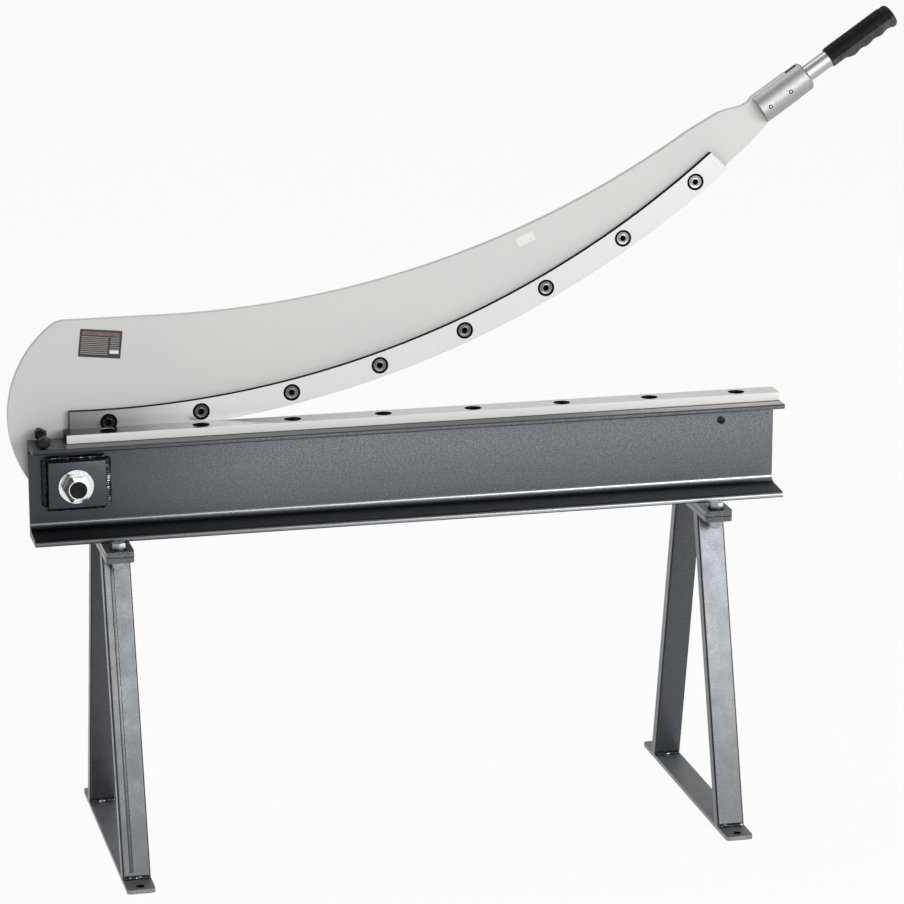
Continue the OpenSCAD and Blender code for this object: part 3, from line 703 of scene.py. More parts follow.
@dataclass(frozen=True)
class GroundSteel(Finish):
    """Ground blade steel, with darker hardened skin on the faces that aren't ground, and a painted
    dark reflection on the ground faces towards the pivot's end.
    """

    name: str
    bright: Colour
    dull: Colour
    skin: Colour
    grain: Triple
    # Painted dark reflection on the ground faces towards the pivot's end.
    dark_reflection: Colour
    dark_reflection_range: Ramp
    ground_axis: str = "Y"
    end: Colour = shade(10, 10, 11)
    end_range: Ramp = Ramp(0.8, 0.95)
    skin_range: Ramp = Ramp(0.6, 0.85, 1.0, 0.0)
    roughness: float = 0.3
    line_rough: Ramp = Ramp(0.2, 0.8, -0.01, 0.01)
    relief: float = 0.003
    depth: float = 0.2
    lines: float = 420.0
    line_range: Ramp = Ramp(0.3, 0.75)
    dark_reflection_clouds: float = 22.0
    dark_reflection_swing: float = 20.0
    metallic: float = 0.92
    skin_metallic: float = 0.0
    skin_roughness: float = 0.8
    gloss: float = 0.2
    edge: float = 0.35

    def dress(self, recipe: Recipe) -> None:
        """Gives the surface its looks.

        Args:
            recipe: The material in the making.
        """
        lines = recipe.noise(self.lines, stretch=self.grain)
        ground = recipe.mixed(recipe.graded(lines, self.line_range), self.bright, self.dull)
        swing = Ramp(0.0, 1.0, -self.dark_reflection_swing * MM, self.dark_reflection_swing * MM)
        spread = recipe.computed("ADD", recipe.along("X"),
                                 recipe.graded(recipe.noise(self.dark_reflection_clouds), swing))
        ground = recipe.mixed(recipe.graded(spread, self.dark_reflection_range, MM), self.dark_reflection, ground)
        edges = recipe.faced(self.ground_axis, self.skin_range, True)
        ends = recipe.faced("X", self.end_range, True)
        recipe.coloured(recipe.mixed(ends, recipe.mixed(edges, ground, self.skin), self.end))
        recipe.glossy(self.gloss)
        recipe.plated(recipe.both(
            recipe.graded(edges, Ramp(0.0, 1.0, self.metallic, self.skin_metallic)),
            recipe.graded(ends, Ramp(0.0, 1.0, 1.0, 0.0))))
        recipe.roughened(recipe.computed(
            "ADD", recipe.graded(edges, Ramp(0.0, 1.0, 0.0, self.skin_roughness - self.roughness)),
            recipe.graded(lines, self.line_rough.raised(self.roughness))))
        recipe.embossed([(lines, self.relief, self.depth)], self.edge)


@dataclass(frozen=True)
class PlatedSteel(Finish):
    """Plated, turned or blackened steel of small hardware."""

    name: str
    bright: Colour
    dull: Colour
    roughness: float = 0.25
    metallic: float = 1.0
    patches: float = 160.0
    patch_detail: float = 4.0
    patch_range: Ramp = Ramp(0.3, 0.75)
    smears: float = 420.0
    smear_range: Ramp = Ramp(0.2, 0.8, -0.05, 0.09)
    relief: float = 0.08
    depth: float = 0.3
    edge: float = 0.3

    def dress(self, recipe: Recipe) -> None:
        """Gives the surface its looks."""
        recipe.coloured(self.patched(recipe))
        recipe.smeared(self.smears, self.smear_range, self.roughness)

    def patched(self, recipe: Recipe) -> Socket:
        """Gives the surface its patchy relief.

        Args:
            recipe: The material in the making.

        Returns:
            The patchy colour.
        """
        patches = recipe.noise(self.patches, self.patch_detail)
        recipe.embossed([(patches, self.relief, self.depth)], self.edge)
        return recipe.mixed(recipe.graded(patches, self.patch_range), self.bright, self.dull)


@dataclass(frozen=True)
class RodSteel(PlatedSteel):
    """Turned steel of the rod, with painted shade where it sits in the socket."""

    # Painted shade on the rod inside the socket.
    inner: Colour = shade(24, 24, 24)
    along_x: float = 0.8261
    along_z: float = 0.5635
    socket_end: Ramp = Ramp(1023.0, 1024.5)

    def dress(self, recipe: Recipe) -> None:
        """Gives the surface its looks."""
        outside = recipe.graded(recipe.weighed(self.along_x, self.along_z), self.socket_end, MM)
        recipe.coloured(recipe.mixed(outside, self.inner, self.patched(recipe)))


@dataclass(frozen=True)
class HeadSteel(PlatedSteel):
    """Turned faces of the blade's screw heads, darker towards the pivot and lighter to the right.
    """

    patch_detail: float = 3.0
    patch_range: Ramp = Ramp(0.3, 0.7)
    darker_to_pivot: Colour = shade(34, 34, 34)
    darker_to_pivot_range: Ramp = Ramp(-560.0, -230.0)
    lighter_to_right: Colour = shade(158, 158, 157)
    lighter_to_right_range: Ramp = Ramp(30.0, 330.0)

    def dress(self, recipe: Recipe) -> None:
        """Gives the surface its looks.

        Args:
            recipe: The material in the making.
        """
        patches = recipe.graded(recipe.noise(self.patches, self.patch_detail), self.patch_range)
        colour = recipe.mixed(recipe.placed("X", self.darker_to_pivot_range), self.darker_to_pivot,
                              recipe.mixed(patches, self.bright, self.dull))
        recipe.coloured(recipe.mixed(recipe.placed("X", self.lighter_to_right_range), colour, self.lighter_to_right))
        recipe.embossed([], self.edge)


@dataclass(frozen=True)
class MattBlack(Finish):
    """Dull black of sunk screws, with faint dust: their own black, dulled as painted shade of their
    holes and of the gaps round the blade's screw heads.
    """

    name: str
    base: Colour = shade(8, 8, 8)
    dust: Colour = shade(22, 22, 21)
    specks: float = 300.0
    speck_range: Ramp = Ramp(0.45, 0.8)
    roughness: float = 0.85
    gloss: float = 0.04

    def dress(self, recipe: Recipe) -> None:
        """Gives the surface its looks.

        Args:
            recipe: The material in the making.
        """
        recipe.glossy(self.gloss)
        specks = recipe.graded(recipe.noise(self.specks), self.speck_range)
        recipe.coloured(recipe.mixed(specks, self.base, self.dust))


@dataclass(frozen=True)
class MouldedRubber(Finish):
    """Black rubber with a fine moulded grain, a lighter finger side and a parting line.

    How far a place lies below the handle's axis comes from its X and Z, whose weights are the
    axis's own down direction.
    """

    name: str
    base: Colour
    wear_and_highlight: Colour
    parting: Colour
    down_x: float = 0.5635
    down_z: float = -0.8261
    axis: float = -592.46
    finger_side: Ramp = Ramp(3.5, 5.0)
    scuffs: float = 95.0
    scuff_detail: float = 5.0
    scuff_range: Ramp = Ramp(0.3, 0.78, 0.35, 1.0)
    line: float = 3.2
    line_range: Ramp = Ramp(0.0, 0.6, 0.7, 0.0)
    roughness: float = 0.55
    smears: float = 260.0
    smear_range: Ramp = Ramp(0.2, 0.8, -0.1, 0.08)
    gloss: float = 0.2
    grain: float = 1500.0
    grain_detail: float = 2.0
    relief: float = 0.15
    depth: float = 0.3

    def dress(self, recipe: Recipe) -> None:
        """Gives the surface its looks.

        Args:
            recipe: The material in the making.
        """
        recipe.glossy(self.gloss)
        below = recipe.computed("SUBTRACT", recipe.weighed(self.down_x, self.down_z),
                                self.axis * MM)
        scuffs = recipe.graded(recipe.noise(self.scuffs, self.scuff_detail), self.scuff_range)
        fingers = recipe.graded(below, self.finger_side, MM)
        colour = recipe.mixed(recipe.both(fingers, scuffs), self.base, self.wear_and_highlight)
        off = recipe.computed("ABSOLUTE", recipe.computed("SUBTRACT", below, self.line * MM))
        recipe.coloured(recipe.mixed(recipe.graded(off, self.line_range, MM), colour,
                                     self.parting))
        recipe.smeared(self.smears, self.smear_range, self.roughness)
        recipe.embossed([(recipe.noise(self.grain, self.grain_detail), self.relief, self.depth)])


@dataclass(frozen=True)
class PrintedFoil(SatinPaint):
    """A foil with even ink, faint fibres and rubbed places."""

    clouds: float = 240.0
    cloud_detail: float = 4.0
    cloud_range: Ramp = Ramp(0.45, 0.8)
    roughness: float = 0.4
    smears: float = 500.0
    smear_range: Ramp = Ramp(0.2, 0.8, -0.06, 0.08)
    peel: float = 2200.0
    relief: float = 0.08
    depth: float = 0.1
    edge: float = 0.0


class Palette:
    """Every finish of the machine, made once."""

    def __init__(self) -> None:
        """Makes the materials."""
        finishes = {
            Slot.BEAM_PAINT: BeamPaint("hammered_beam_paint", shade(100, 104, 108),
                                       shade(127, 131, 135)),
            Slot.STAND_PAINT: TubePaint("stand_paint", shade(93, 96, 99), shade(111, 114, 117),
                                        cells=560.0, relief=0.03, roughness=0.32),
            Slot.ARM_PAINT: SatinPaint("arm_paint", shade(206, 206, 203), shade(201, 202, 199)),
            # Both blades have a painted dark reflection towards the pivot's end.
            Slot.BLADE_STEEL: GroundSteel(
                "upper_blade_steel", shade(212, 212, 210), shade(209, 209, 207), shade(8, 8, 9),
                (1.0, 1.0, 0.06), shade(124, 125, 126), Ramp(-575.0, -360.0)),
            Slot.BLACK_STEEL: PlatedSteel("black_oxide", shade(20, 21, 22), shade(32, 33, 34),
                                          roughness=0.3, metallic=0.8),
            Slot.ZINC: PlatedSteel("bright_zinc", shade(240, 242, 240), shade(228, 231, 232),
                                   roughness=0.2, relief=0.02),
            Slot.DARK_ZINC: PlatedSteel("dull_plate", shade(48, 48, 45), shade(34, 34, 32),
                                        roughness=0.34),
            Slot.TURNED_STEEL: PlatedSteel("turned_steel", shade(172, 173, 173),
                                           shade(165, 166, 166), roughness=0.48, patches=240.0,
                                           relief=0.004),
            # The weld paint's bright spots are painted highlights.
            Slot.WELD_METAL: WeldPaint("painted_weld", shade(50, 53, 56), shade(176, 179, 181),
                                       roughness=0.3),
            Slot.BRONZE: PlatedSteel("bronze", shade(190, 150, 92), shade(150, 112, 64)),
            Slot.GRIP_RUBBER: MouldedRubber("grip_rubber", shade(7, 7, 7), shade(88, 88, 88),
                                            shade(120, 120, 120)),
            Slot.NAMEPLATE_FACE: PrintedFoil("plate_ink", shade(50, 47, 47), shade(74, 71, 70),
                                             metallic=0.3),
            Slot.LABEL_FACE: PrintedFoil("pale_foil", shade(226, 226, 222), shade(216, 216, 212)),
        }
        self.made = {slot: finish.make() for slot, finish in finishes.items()}
        self.lower_blade = GroundSteel(
            "lower_blade_steel", shade(222, 222, 220), shade(216, 216, 214), shade(225, 225, 223),
            (0.06, 1.0, 1.0), shade(24, 25, 26), Ramp(-575.0, -60.0), ground_axis="Z",
            skin_metallic=0.4, skin_roughness=0.5).make()
        self.plates = PlatePaint("plate_paint", shade(88, 91, 94), shade(116, 119, 122),
                                 cells=560.0, relief=0.04, roughness=0.3).make()
        # A darker copy of the zinc: painted shade on the pivot nut's left faces and on the stand
        # washers.
        self.zinc_in_deep_shade = PlatedSteel("nut_side_zinc", shade(86, 85, 82), shade(62, 61, 59),
                                    roughness=0.28, relief=0.02).make()
        self.head_face = HeadSteel("screw_head_steel", shade(112, 112, 112), shade(98, 98, 98),
                                   roughness=0.3).make()
        # Matt black: the sunk screws' own black, dulled as painted shade.
        self.matt_black = MattBlack("matt_black").make()
        self.rod = RodSteel("rod_steel", shade(182, 183, 183), shade(176, 177, 177),
                            roughness=0.38, patches=240.0, relief=0.004).make()
        # A duller copy of the zinc: painted shade on the pivot nut's other sides and on the stand
        # bolts and nuts.
        self.zinc_in_shade = PlatedSteel("zinc_in_shade", shade(172, 174, 175), shade(140, 142, 144),
                                     roughness=0.3, relief=0.02).make()
        # Weld paint made darker: painted shade on the block's lower and left beads; the leg seam's
        # dark lines use it too.
        self.dark_weld = HammeredPaint("dark_weld", shade(30, 33, 36), shade(46, 49, 52),
                                       roughness=0.25, cells=500.0, edge=0.0).make()
        # Near black for the sheet between a stand's plates: painted shade of the gap.
        self.seam_gap = PlatedSteel("seam_gap", shade(20, 21, 22), shade(30, 31, 32),
                                    roughness=0.5).make()
        self.header = PrintedFoil("plate_header_ink", shade(108, 80, 82),
                                  shade(132, 110, 110)).make()
        self.rule = PrintedFoil("plate_rule_ink", shade(146, 142, 138),
                                shade(118, 114, 112)).make()

    def of(self, slot: Slot) -> Material:
        """The material of a slot."""
        return self.made[slot]

    @staticmethod
    def foot(side: str, hole_x: float) -> Material:
        """The paint of one stand's foot, which is lighter than the plates above it: painted light.
        """
        return PlatePaint(f"{side}_foot_paint", shade(124, 127, 130), shade(150, 153, 156),
                          cells=560.0, relief=0.02, roughness=0.5, hole_x=hole_x).make()


class Bench:
    """Modelling steps that the pieces share. Every length here is in metres."""

    @staticmethod
    def only(*pieces: Piece) -> None:
        """Selects these pieces alone and makes the first one active.

        Args:
            pieces: The pieces.
        """
        bpy.ops.object.select_all(action="DESELECT")
        for piece in pieces:
            piece.select_set(True)
        if pieces:
            bpy.context.view_layer.objects.active = pieces[0]

    @staticmethod
    def settle(piece: Piece, place: Matrix | None = None) -> Piece:
        """Puts the piece's place into its mesh, so that the object itself is at the origin.

        Args:
            piece: The piece.
            place: Where it goes, or None to keep its place.

        Returns:
            The piece.
        """
        if place is not None:
            piece.matrix_world = place @ piece.matrix_world
        Bench.only(piece)
        bpy.ops.object.transform_apply(location=True, rotation=True, scale=True)
        return piece

    @staticmethod
    def named(name: str) -> Piece:
        """Names the new primitive and settles it.

        Args:
            name: The piece's name.

        Returns:
            The piece.
        """
        piece = bpy.context.active_object
        piece.name = name
        piece.data.name = name
        return Bench.settle(piece)

    @staticmethod
    def round_bar(name: str, radius: float, start: float, end: float, sides: int = MEDIUM) -> Piece:
        """A round bar along Z.

        Args:
            name: The piece's name.
            radius: Its radius.
            start: Height of its lower end.
            end: Height of its upper end.
            sides: Faces round it.

        Returns:
            The piece.
        """
        Bench.only()
        bpy.ops.mesh.primitive_cylinder_add(vertices=sides, radius=radius, depth=end - start,
                                            location=(0, 0, (start + end) / 2))
        return Bench.named(name)

    @staticmethod
    def block(name: str, low: Vector, high: Vector) -> Piece:
        """A block between two corners.

        Args:
            name: The piece's name.
            low: Its lowest corner.
            high: Its highest corner.

        Returns:
            The piece.
        """
        Bench.only()
        bpy.ops.mesh.primitive_cube_add(size=1, location=(low + high) / 2)
        bpy.context.active_object.scale = high - low
        return Bench.named(name)

    @staticmethod
    def pick(piece: Piece, kind: Pick, test: Callable[[Vector, Vector], bool]) -> None:
        """Opens the piece in edit mode with some of its faces or edges selected.

        Args:
            piece: The piece.
            kind: Faces or edges.
            test: Told a face's middle and normal, or an edge's middle and direction, says whether
                it is selected.
        """
        mesh = piece.data
        for parts in (mesh.vertices, mesh.edges, mesh.polygons):
            parts.foreach_set("select", [False] * len(parts))
        if kind is Pick.FACES:
            for face in mesh.polygons:
                face.select = test(face.center, face.normal)
        else:
            for edge in mesh.edges:
                first, second = (mesh.vertices[i].co for i in edge.vertices)
                edge.select = test((first + second) / 2, (second - first).normalized())
                if edge.select:
                    for i in edge.vertices:
                        mesh.vertices[i].select = True
        Bench.only(piece)
        bpy.context.tool_settings.mesh_select_mode = kind.value
        bpy.ops.object.mode_set(mode="EDIT")

    @staticmethod
    def done() -> None:
        """Leaves edit mode."""
        bpy.ops.object.mode_set(mode="OBJECT")

    @staticmethod
    def extruded(x: float, y: float, z: float) -> None:
        """Extrudes the selected faces by a shift."""
        bpy.ops.mesh.extrude_region_move(TRANSFORM_OT_translate={
            "value": (x, y, z), "orient_type": "GLOBAL"})

    @staticmethod
    def turned(name: str, profile: Profile, sides: int = MEDIUM, centre: float = 0.0) -> Piece:
        """A turned piece about Z.

        Args:
            name: The piece's name.
            profile: Radius and height of each step, from the bottom to the top.
            sides: Faces round it.
            centre: Distance of its axis from zero along X.

        Returns:
            The piece.
        """
        (radius, height), (next_radius, next_height), *rest = profile
        Bench.only()
        bpy.ops.mesh.primitive_cylinder_add(
            vertices=sides, radius=radius, depth=next_height - height,
            location=(centre, 0, (height + next_height) / 2))
        piece = Bench.named(name)
        limit = (height + next_height) / 2
        Bench.pick(piece, Pick.FACES,
                   lambda middle, normal: middle.z > limit and normal.z > SQUARE_ON)
        Bench.widen(next_radius / radius, centre, next_height)
        last_radius, last_height = next_radius, next_height
        for step_radius, step_height in rest:
            Bench.extruded(0, 0, step_height - last_height)
            Bench.widen(step_radius / last_radius, centre, step_height)
            last_radius, last_height = step_radius, step_height
        Bench.done()
        return piece

    @staticmethod
    def widen(factor: float, centre: float, height: float) -> None:
        """Scales the selected end of a turned piece about its axis."""
        if abs(factor - 1) > SAME_SIZE:
            bpy.ops.transform.resize(value=(factor, factor, 1), center_override=(centre, 0, height))

    @staticmethod
    def shaped(piece: Piece, kind: str, **settings: object) -> Piece:
        """Changes the piece's shape with a modifier, which is applied.

        Args:
            piece: The piece.
            kind: The modifier's kind.
            settings: Its settings.

        Returns:
            The piece.
        """
        Bench.only(piece)
        bpy.ops.object.modifier_add(type=kind)
        modifier = piece.modifiers[-1]
        for name, setting in settings.items():
            setattr(modifier, name, setting)
        bpy.ops.object.modifier_apply(modifier=modifier.name)
        return piece

    @staticmethod
    def combine(piece: Piece, tool: Piece, cut: Cut) -> Piece:
        """Cuts the piece with a tool, which is used up.

        Args:
            piece: The piece.
            tool: The other solid.
            cut: What is done.

        Returns:
            The piece.
        """
        Bench.shaped(piece, "BOOLEAN", operation=cut.value, solver="EXACT", object=tool)
        bpy.data.objects.remove(tool)
        return piece

    @staticmethod
    def rounded(piece: Piece, radius: float, steps: int = 3, angle: float = 40.0) -> Piece:
        """Rounds the piece's sharp edges."""
        return Bench.shaped(piece, "BEVEL", width=radius, segments=steps, limit_method="ANGLE",
                            angle_limit=math.radians(angle))

    @staticmethod
    def row(piece: Piece, count: int, step: Vector) -> Piece:
        """Repeats the piece in a row, within one mesh."""
        return Bench.shaped(piece, "ARRAY", count=count, use_relative_offset=False,
                            use_constant_offset=True, constant_offset_displace=step)

    @staticmethod
    def fused(piece: Piece, grain: float) -> Piece:
        """Melts overlapping shells into one smooth skin."""
        Bench.shaped(piece, "REMESH", mode="VOXEL", voxel_size=grain)
        return Bench.shaped(piece, "SMOOTH", factor=SMOOTHING, iterations=1)

    @staticmethod
    def halved(piece: Piece, point: Vector, normal: Vector) -> Piece:
        """Cuts off what lies on the normal's side of a plane and closes the cut.

        Args:
            piece: The piece.
            point: A point of the plane.
            normal: The side that goes.

        Returns:
            The piece.
        """
        Bench.pick(piece, Pick.FACES, lambda middle, face_normal: True)
        bpy.ops.mesh.bisect(plane_co=point, plane_no=normal, use_fill=True, clear_outer=True)
        Bench.done()
        return piece

    @staticmethod
    def copied(piece: Piece, places: Sequence[Matrix]) -> Piece:
        """Copies the piece to each place and joins the copies, which use the piece up.

        Args:
            piece: The piece, modelled at the origin.
            places: Where the copies go.

        Returns:
            The joined piece, under the first one's name.
        """
        name = piece.name
        twins = []
        for place in places:
            twin = piece.copy()
            twin.data = piece.data.copy()
            bpy.context.scene.collection.objects.link(twin)
            twins.append(Bench.settle(twin, place))
        bpy.data.objects.remove(piece)
        joined = Bench.welded(twins)
        joined.name = name
        return joined

    @staticmethod
    def welded(pieces: Sequence[Piece]) -> Piece:
        """Joins pieces into one object, the first.

        Args:
            pieces: The pieces.

        Returns:
            The joined piece.
        """
        Bench.only(*pieces)
        if len(pieces) > 1:
            bpy.ops.object.join()
        return bpy.context.active_object

    @staticmethod
    def washer(name: str, outer: float, inner: float, thick: float, edge: float,
               sides: tuple[int, int]) -> Piece:
        """A washer on Z from zero up, with chamfered outer edges.

        Args:
            name: The piece's name.
            outer: Its outer radius.
            inner: Radius of its hole.
            thick: Its thickness.
            edge: Its chamfer.
            sides: Faces round it and round its hole.

        Returns:
            The piece.
        """
        ring = Bench.turned(name, [(outer - edge, 0), (outer, edge), (outer, thick - edge),
                                   (outer - edge, thick)], sides[0])
        drill = Bench.round_bar(name + "_drill", inner, -OVERRUN * MM, thick + OVERRUN * MM,
                                sides[1])
        return Bench.combine(ring, drill, Cut.TAKE_AWAY)

    @staticmethod
    def hexagon(name: str, flats: float, height: float, bore: float = 0.0,
                both_ends: bool = True, land_share: float = 0.94, lip_share: float = 0.035,
                reach_share: float = 1.06) -> Piece:
        """A hexagon nut or head on Z from zero up, with chamfered corners along Y.

        Args:
            name: The piece's name.
            flats: Width across the flats.
            height: Its height.
            bore: Diameter of the hole, or zero.
            both_ends: Whether the lower end has its corners chamfered too.
            land_share: Diameter of the flat land at an end over the width across the flats.
            lip_share: Chamfer of the hole over the width across the flats.
            reach_share: Radius of the chamfering tool over that of the corners.

        Returns:
            The piece.
        """
        corner = flats / 2 / math.cos(HEXAGON_ANGLE)
        land = flats / 2 * land_share
        reach = corner * reach_share
        slope = (reach - land) * math.tan(HEXAGON_ANGLE)
        piece = Bench.round_bar(name, corner, 0, height, HEXAGON_SIDES)
        start = [(land, 0.0), (reach, slope)] if both_ends else [(reach, -height), (reach, slope)]
        tool = Bench.turned(name + "_tool", [*start, (reach, height - slope), (land, height)],
                            FINE)
        Bench.combine(piece, tool, Cut.KEEP_COMMON)
        if bore:
            lip = flats * lip_share
            Bench.combine(piece, Bench.turned(name + "_drill", [
                (bore / 2 + lip * 2, -lip), (bore / 2, lip), (bore / 2, height - lip),
                (bore / 2 + lip * 2, height + lip)], PLAIN), Cut.TAKE_AWAY)
        return piece

    @staticmethod
    def threaded(name: str, radius: float, start: float, end: float, pitch: float) -> Piece:
        """A threaded bar along Z with a chamfered upper end.

        Args:
            name: The piece's name.
            radius: Radius over the crests.
            start: Height of its lower end.
            end: Height of its upper end.
            pitch: Distance between two crests.

        Returns:
            The piece.
        """
        root = radius - pitch / 2
        turns = max(1, int((end - start - pitch) / pitch))
        profile = [(root, start), (radius, start + pitch / 2)]
        for turn in range(1, turns):
            profile += [(root, start + pitch * turn), (radius, start + pitch * (turn + 0.5))]
        profile += [(radius, end - pitch), (root, end)]
        return Bench.turned(name, profile, COARSE)

    @staticmethod
    def smooth(piece: Piece, angle: float = 35.0) -> Piece:
        """Shades the piece smooth, save across edges sharper than the angle.

        Args:
            piece: The piece.
            angle: The angle in degrees.

        Returns:
            The piece.
        """
        Bench.only(piece)
        bpy.ops.object.shade_smooth_by_angle(angle=math.radians(angle))
        return piece


@dataclass
class Assembly:
    """What every group of pieces has: its body, the finishes and the pieces made so far."""

    palette: Palette
    body: Body = Body.FRAME
    made: list[str] = field(default_factory=list)
    soft_steps: int = 2
    soft_angle: float = 50.0

    def keep(self, node: str, slot: Slot, material: Material | None = None,
             soften: float = 0.0) -> None:
        """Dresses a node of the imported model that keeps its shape.

        Args:
            node: The node.
            slot: Its material slot.
            material: A finish of its own, or None for the slot's.
            soften: Width of the bevel on its sharp edges, in millimetres, or zero.
        """
        piece = bpy.data.objects[node]
        finish = material or self.palette.of(slot)
        if not piece.data.materials:
            piece.data.materials.append(finish)
        for place in piece.material_slots:
            place.material = finish
        if soften:
            bevel = piece.modifiers.new("soft_edges", "BEVEL")
            bevel.width = soften * MM
            bevel.segments = self.soft_steps
            bevel.limit_method = "ANGLE"
            bevel.angle_limit = math.radians(self.soft_angle)
        self.made.append(node)

    def finish(self, piece: Piece, slot: Slot, nodes: Sequence[str] = (),
               angle: float = 35.0, material: Material | None = None) -> Piece:
        """Dresses a new piece and fixes it to its body.

        Args:
            piece: The piece.
            slot: Its material slot.
            nodes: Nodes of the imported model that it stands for.
            angle: Edges sharper than this stay crisp, in degrees.
            material: A finish of its own, or None for the slot's.

        Returns:
            The piece.
        """
        if not any(piece.data.materials):
            piece.data.materials.clear()
            piece.data.materials.append(material or self.palette.of(slot))
        Bench.smooth(piece, angle)
        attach(piece, self.body.value)
        if nodes:
            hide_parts(*nodes)
        self.made.append(piece.name)
        return piece

    def report(self) -> None:
        """Reports each piece."""
        for name in self.made:
            piece = bpy.data.objects[name]
            LOG.info("%s: %s, %d faces on %s", type(self).__name__, name,
                     len(piece.data.polygons), self.body.value)


@dataclass
class WeldBead:
    """A rippled fillet weld along X, in the corner between two faces that meet on it."""

    name: str
    length: float
    depth: float
    height: float
    ripple: float = 2.2
    grain: float = 0.35
    overlap: float = 1.05
    size_share: float = 0.7
    sink_share: float = 0.26
    tilt: float = 12.0
    coin_sides: int = 24
    coin_rings: int = 12
    cloud_share: float = 2.1
    uneven_share: float = 0.22
    uneven_level: float = 0.7

    def make(self) -> Piece:
        """Models the bead, with its corner at zero, its depth along -Y and its height along -Z.

        Returns:
            The bead.
        """
        count = max(2, round(self.length / self.ripple))
        step = self.length / count
        Bench.only()
        bpy.ops.mesh.primitive_uv_sphere_add(segments=self.coin_sides, ring_count=self.coin_rings,
                                             radius=1)
        coin = bpy.context.active_object
        coin.scale = metres(step * self.overlap, self.depth * self.size_share,
                            self.height * self.size_share)
        coin.rotation_euler = (0, math.radians(self.tilt), math.radians(-self.tilt))
        coin.location = metres(step / 2, -self.depth * self.sink_share,
                               -self.height * self.sink_share)
        bead = Bench.named(self.name)
        Bench.row(bead, count, Vector((step * MM, 0, 0)))
        Bench.fused(bead, self.grain * MM)
        self.roughen(bead)
        for normal in (Vector((0, 1, 0)), Vector((0, 0, 1))):
            Bench.halved(bead, Vector((0, 0, 0)), normal)
        for end, normal in ((0.0, Vector((-1, 0, 0))), (self.length * MM, Vector((1, 0, 0)))):
            Bench.halved(bead, Vector((end, 0, 0)), normal)
        return bead

    def roughen(self, bead: Piece) -> None:
        """Makes the ripples uneven.

        Args:
            bead: The bead.
        """
        clouds = bpy.data.textures.new(self.name + "_clouds", "CLOUDS")
        clouds.noise_scale = self.ripple * self.cloud_share * MM
        Bench.shaped(bead, "DISPLACE", texture=clouds, texture_coords="LOCAL",
                     strength=min(self.depth, self.height) * self.uneven_share * MM,
                     mid_level=self.uneven_level)


@dataclass
class Beam(Assembly):
    """The channel beam, its lower blade and the screw in its web."""

    screw_x: float = 390.227
    screw_z: float = 568.0
    web_front: float = 14.5
    screw_flats: float = 10.0
    screw_head: float = 4.0
    screw_radius: float = 3.0
    screw_length: float = 7.0
    screw_sides: int = 24

    def build(self) -> None:
        """Builds and dresses the beam's pieces."""
        self.keep("beam", Slot.BEAM_PAINT)
        self.keep("lower_blade", Slot.BLADE_STEEL, self.palette.lower_blade)
        # The sunk screws' black is dulled as painted shade of their holes.
        self.keep("lower_blade_screws", Slot.BLACK_STEEL, self.palette.matt_black)
        self.web_screw()
        self.report()

    def web_screw(self) -> None:
        """Models the small hexagon screw near the right end."""
        head = Bench.hexagon("web_screw_head", self.screw_flats * MM, self.screw_head * MM,
                             both_ends=False)
        shank = Bench.round_bar("web_screw_shank", self.screw_radius * MM,
                                -self.screw_length * MM, 0, self.screw_sides)
        screw = Bench.settle(Bench.welded([head, shank]),
                             to_front(self.screw_x, self.web_front, self.screw_z))
        self.finish(screw, Slot.BLACK_STEEL, ["web_screw"])


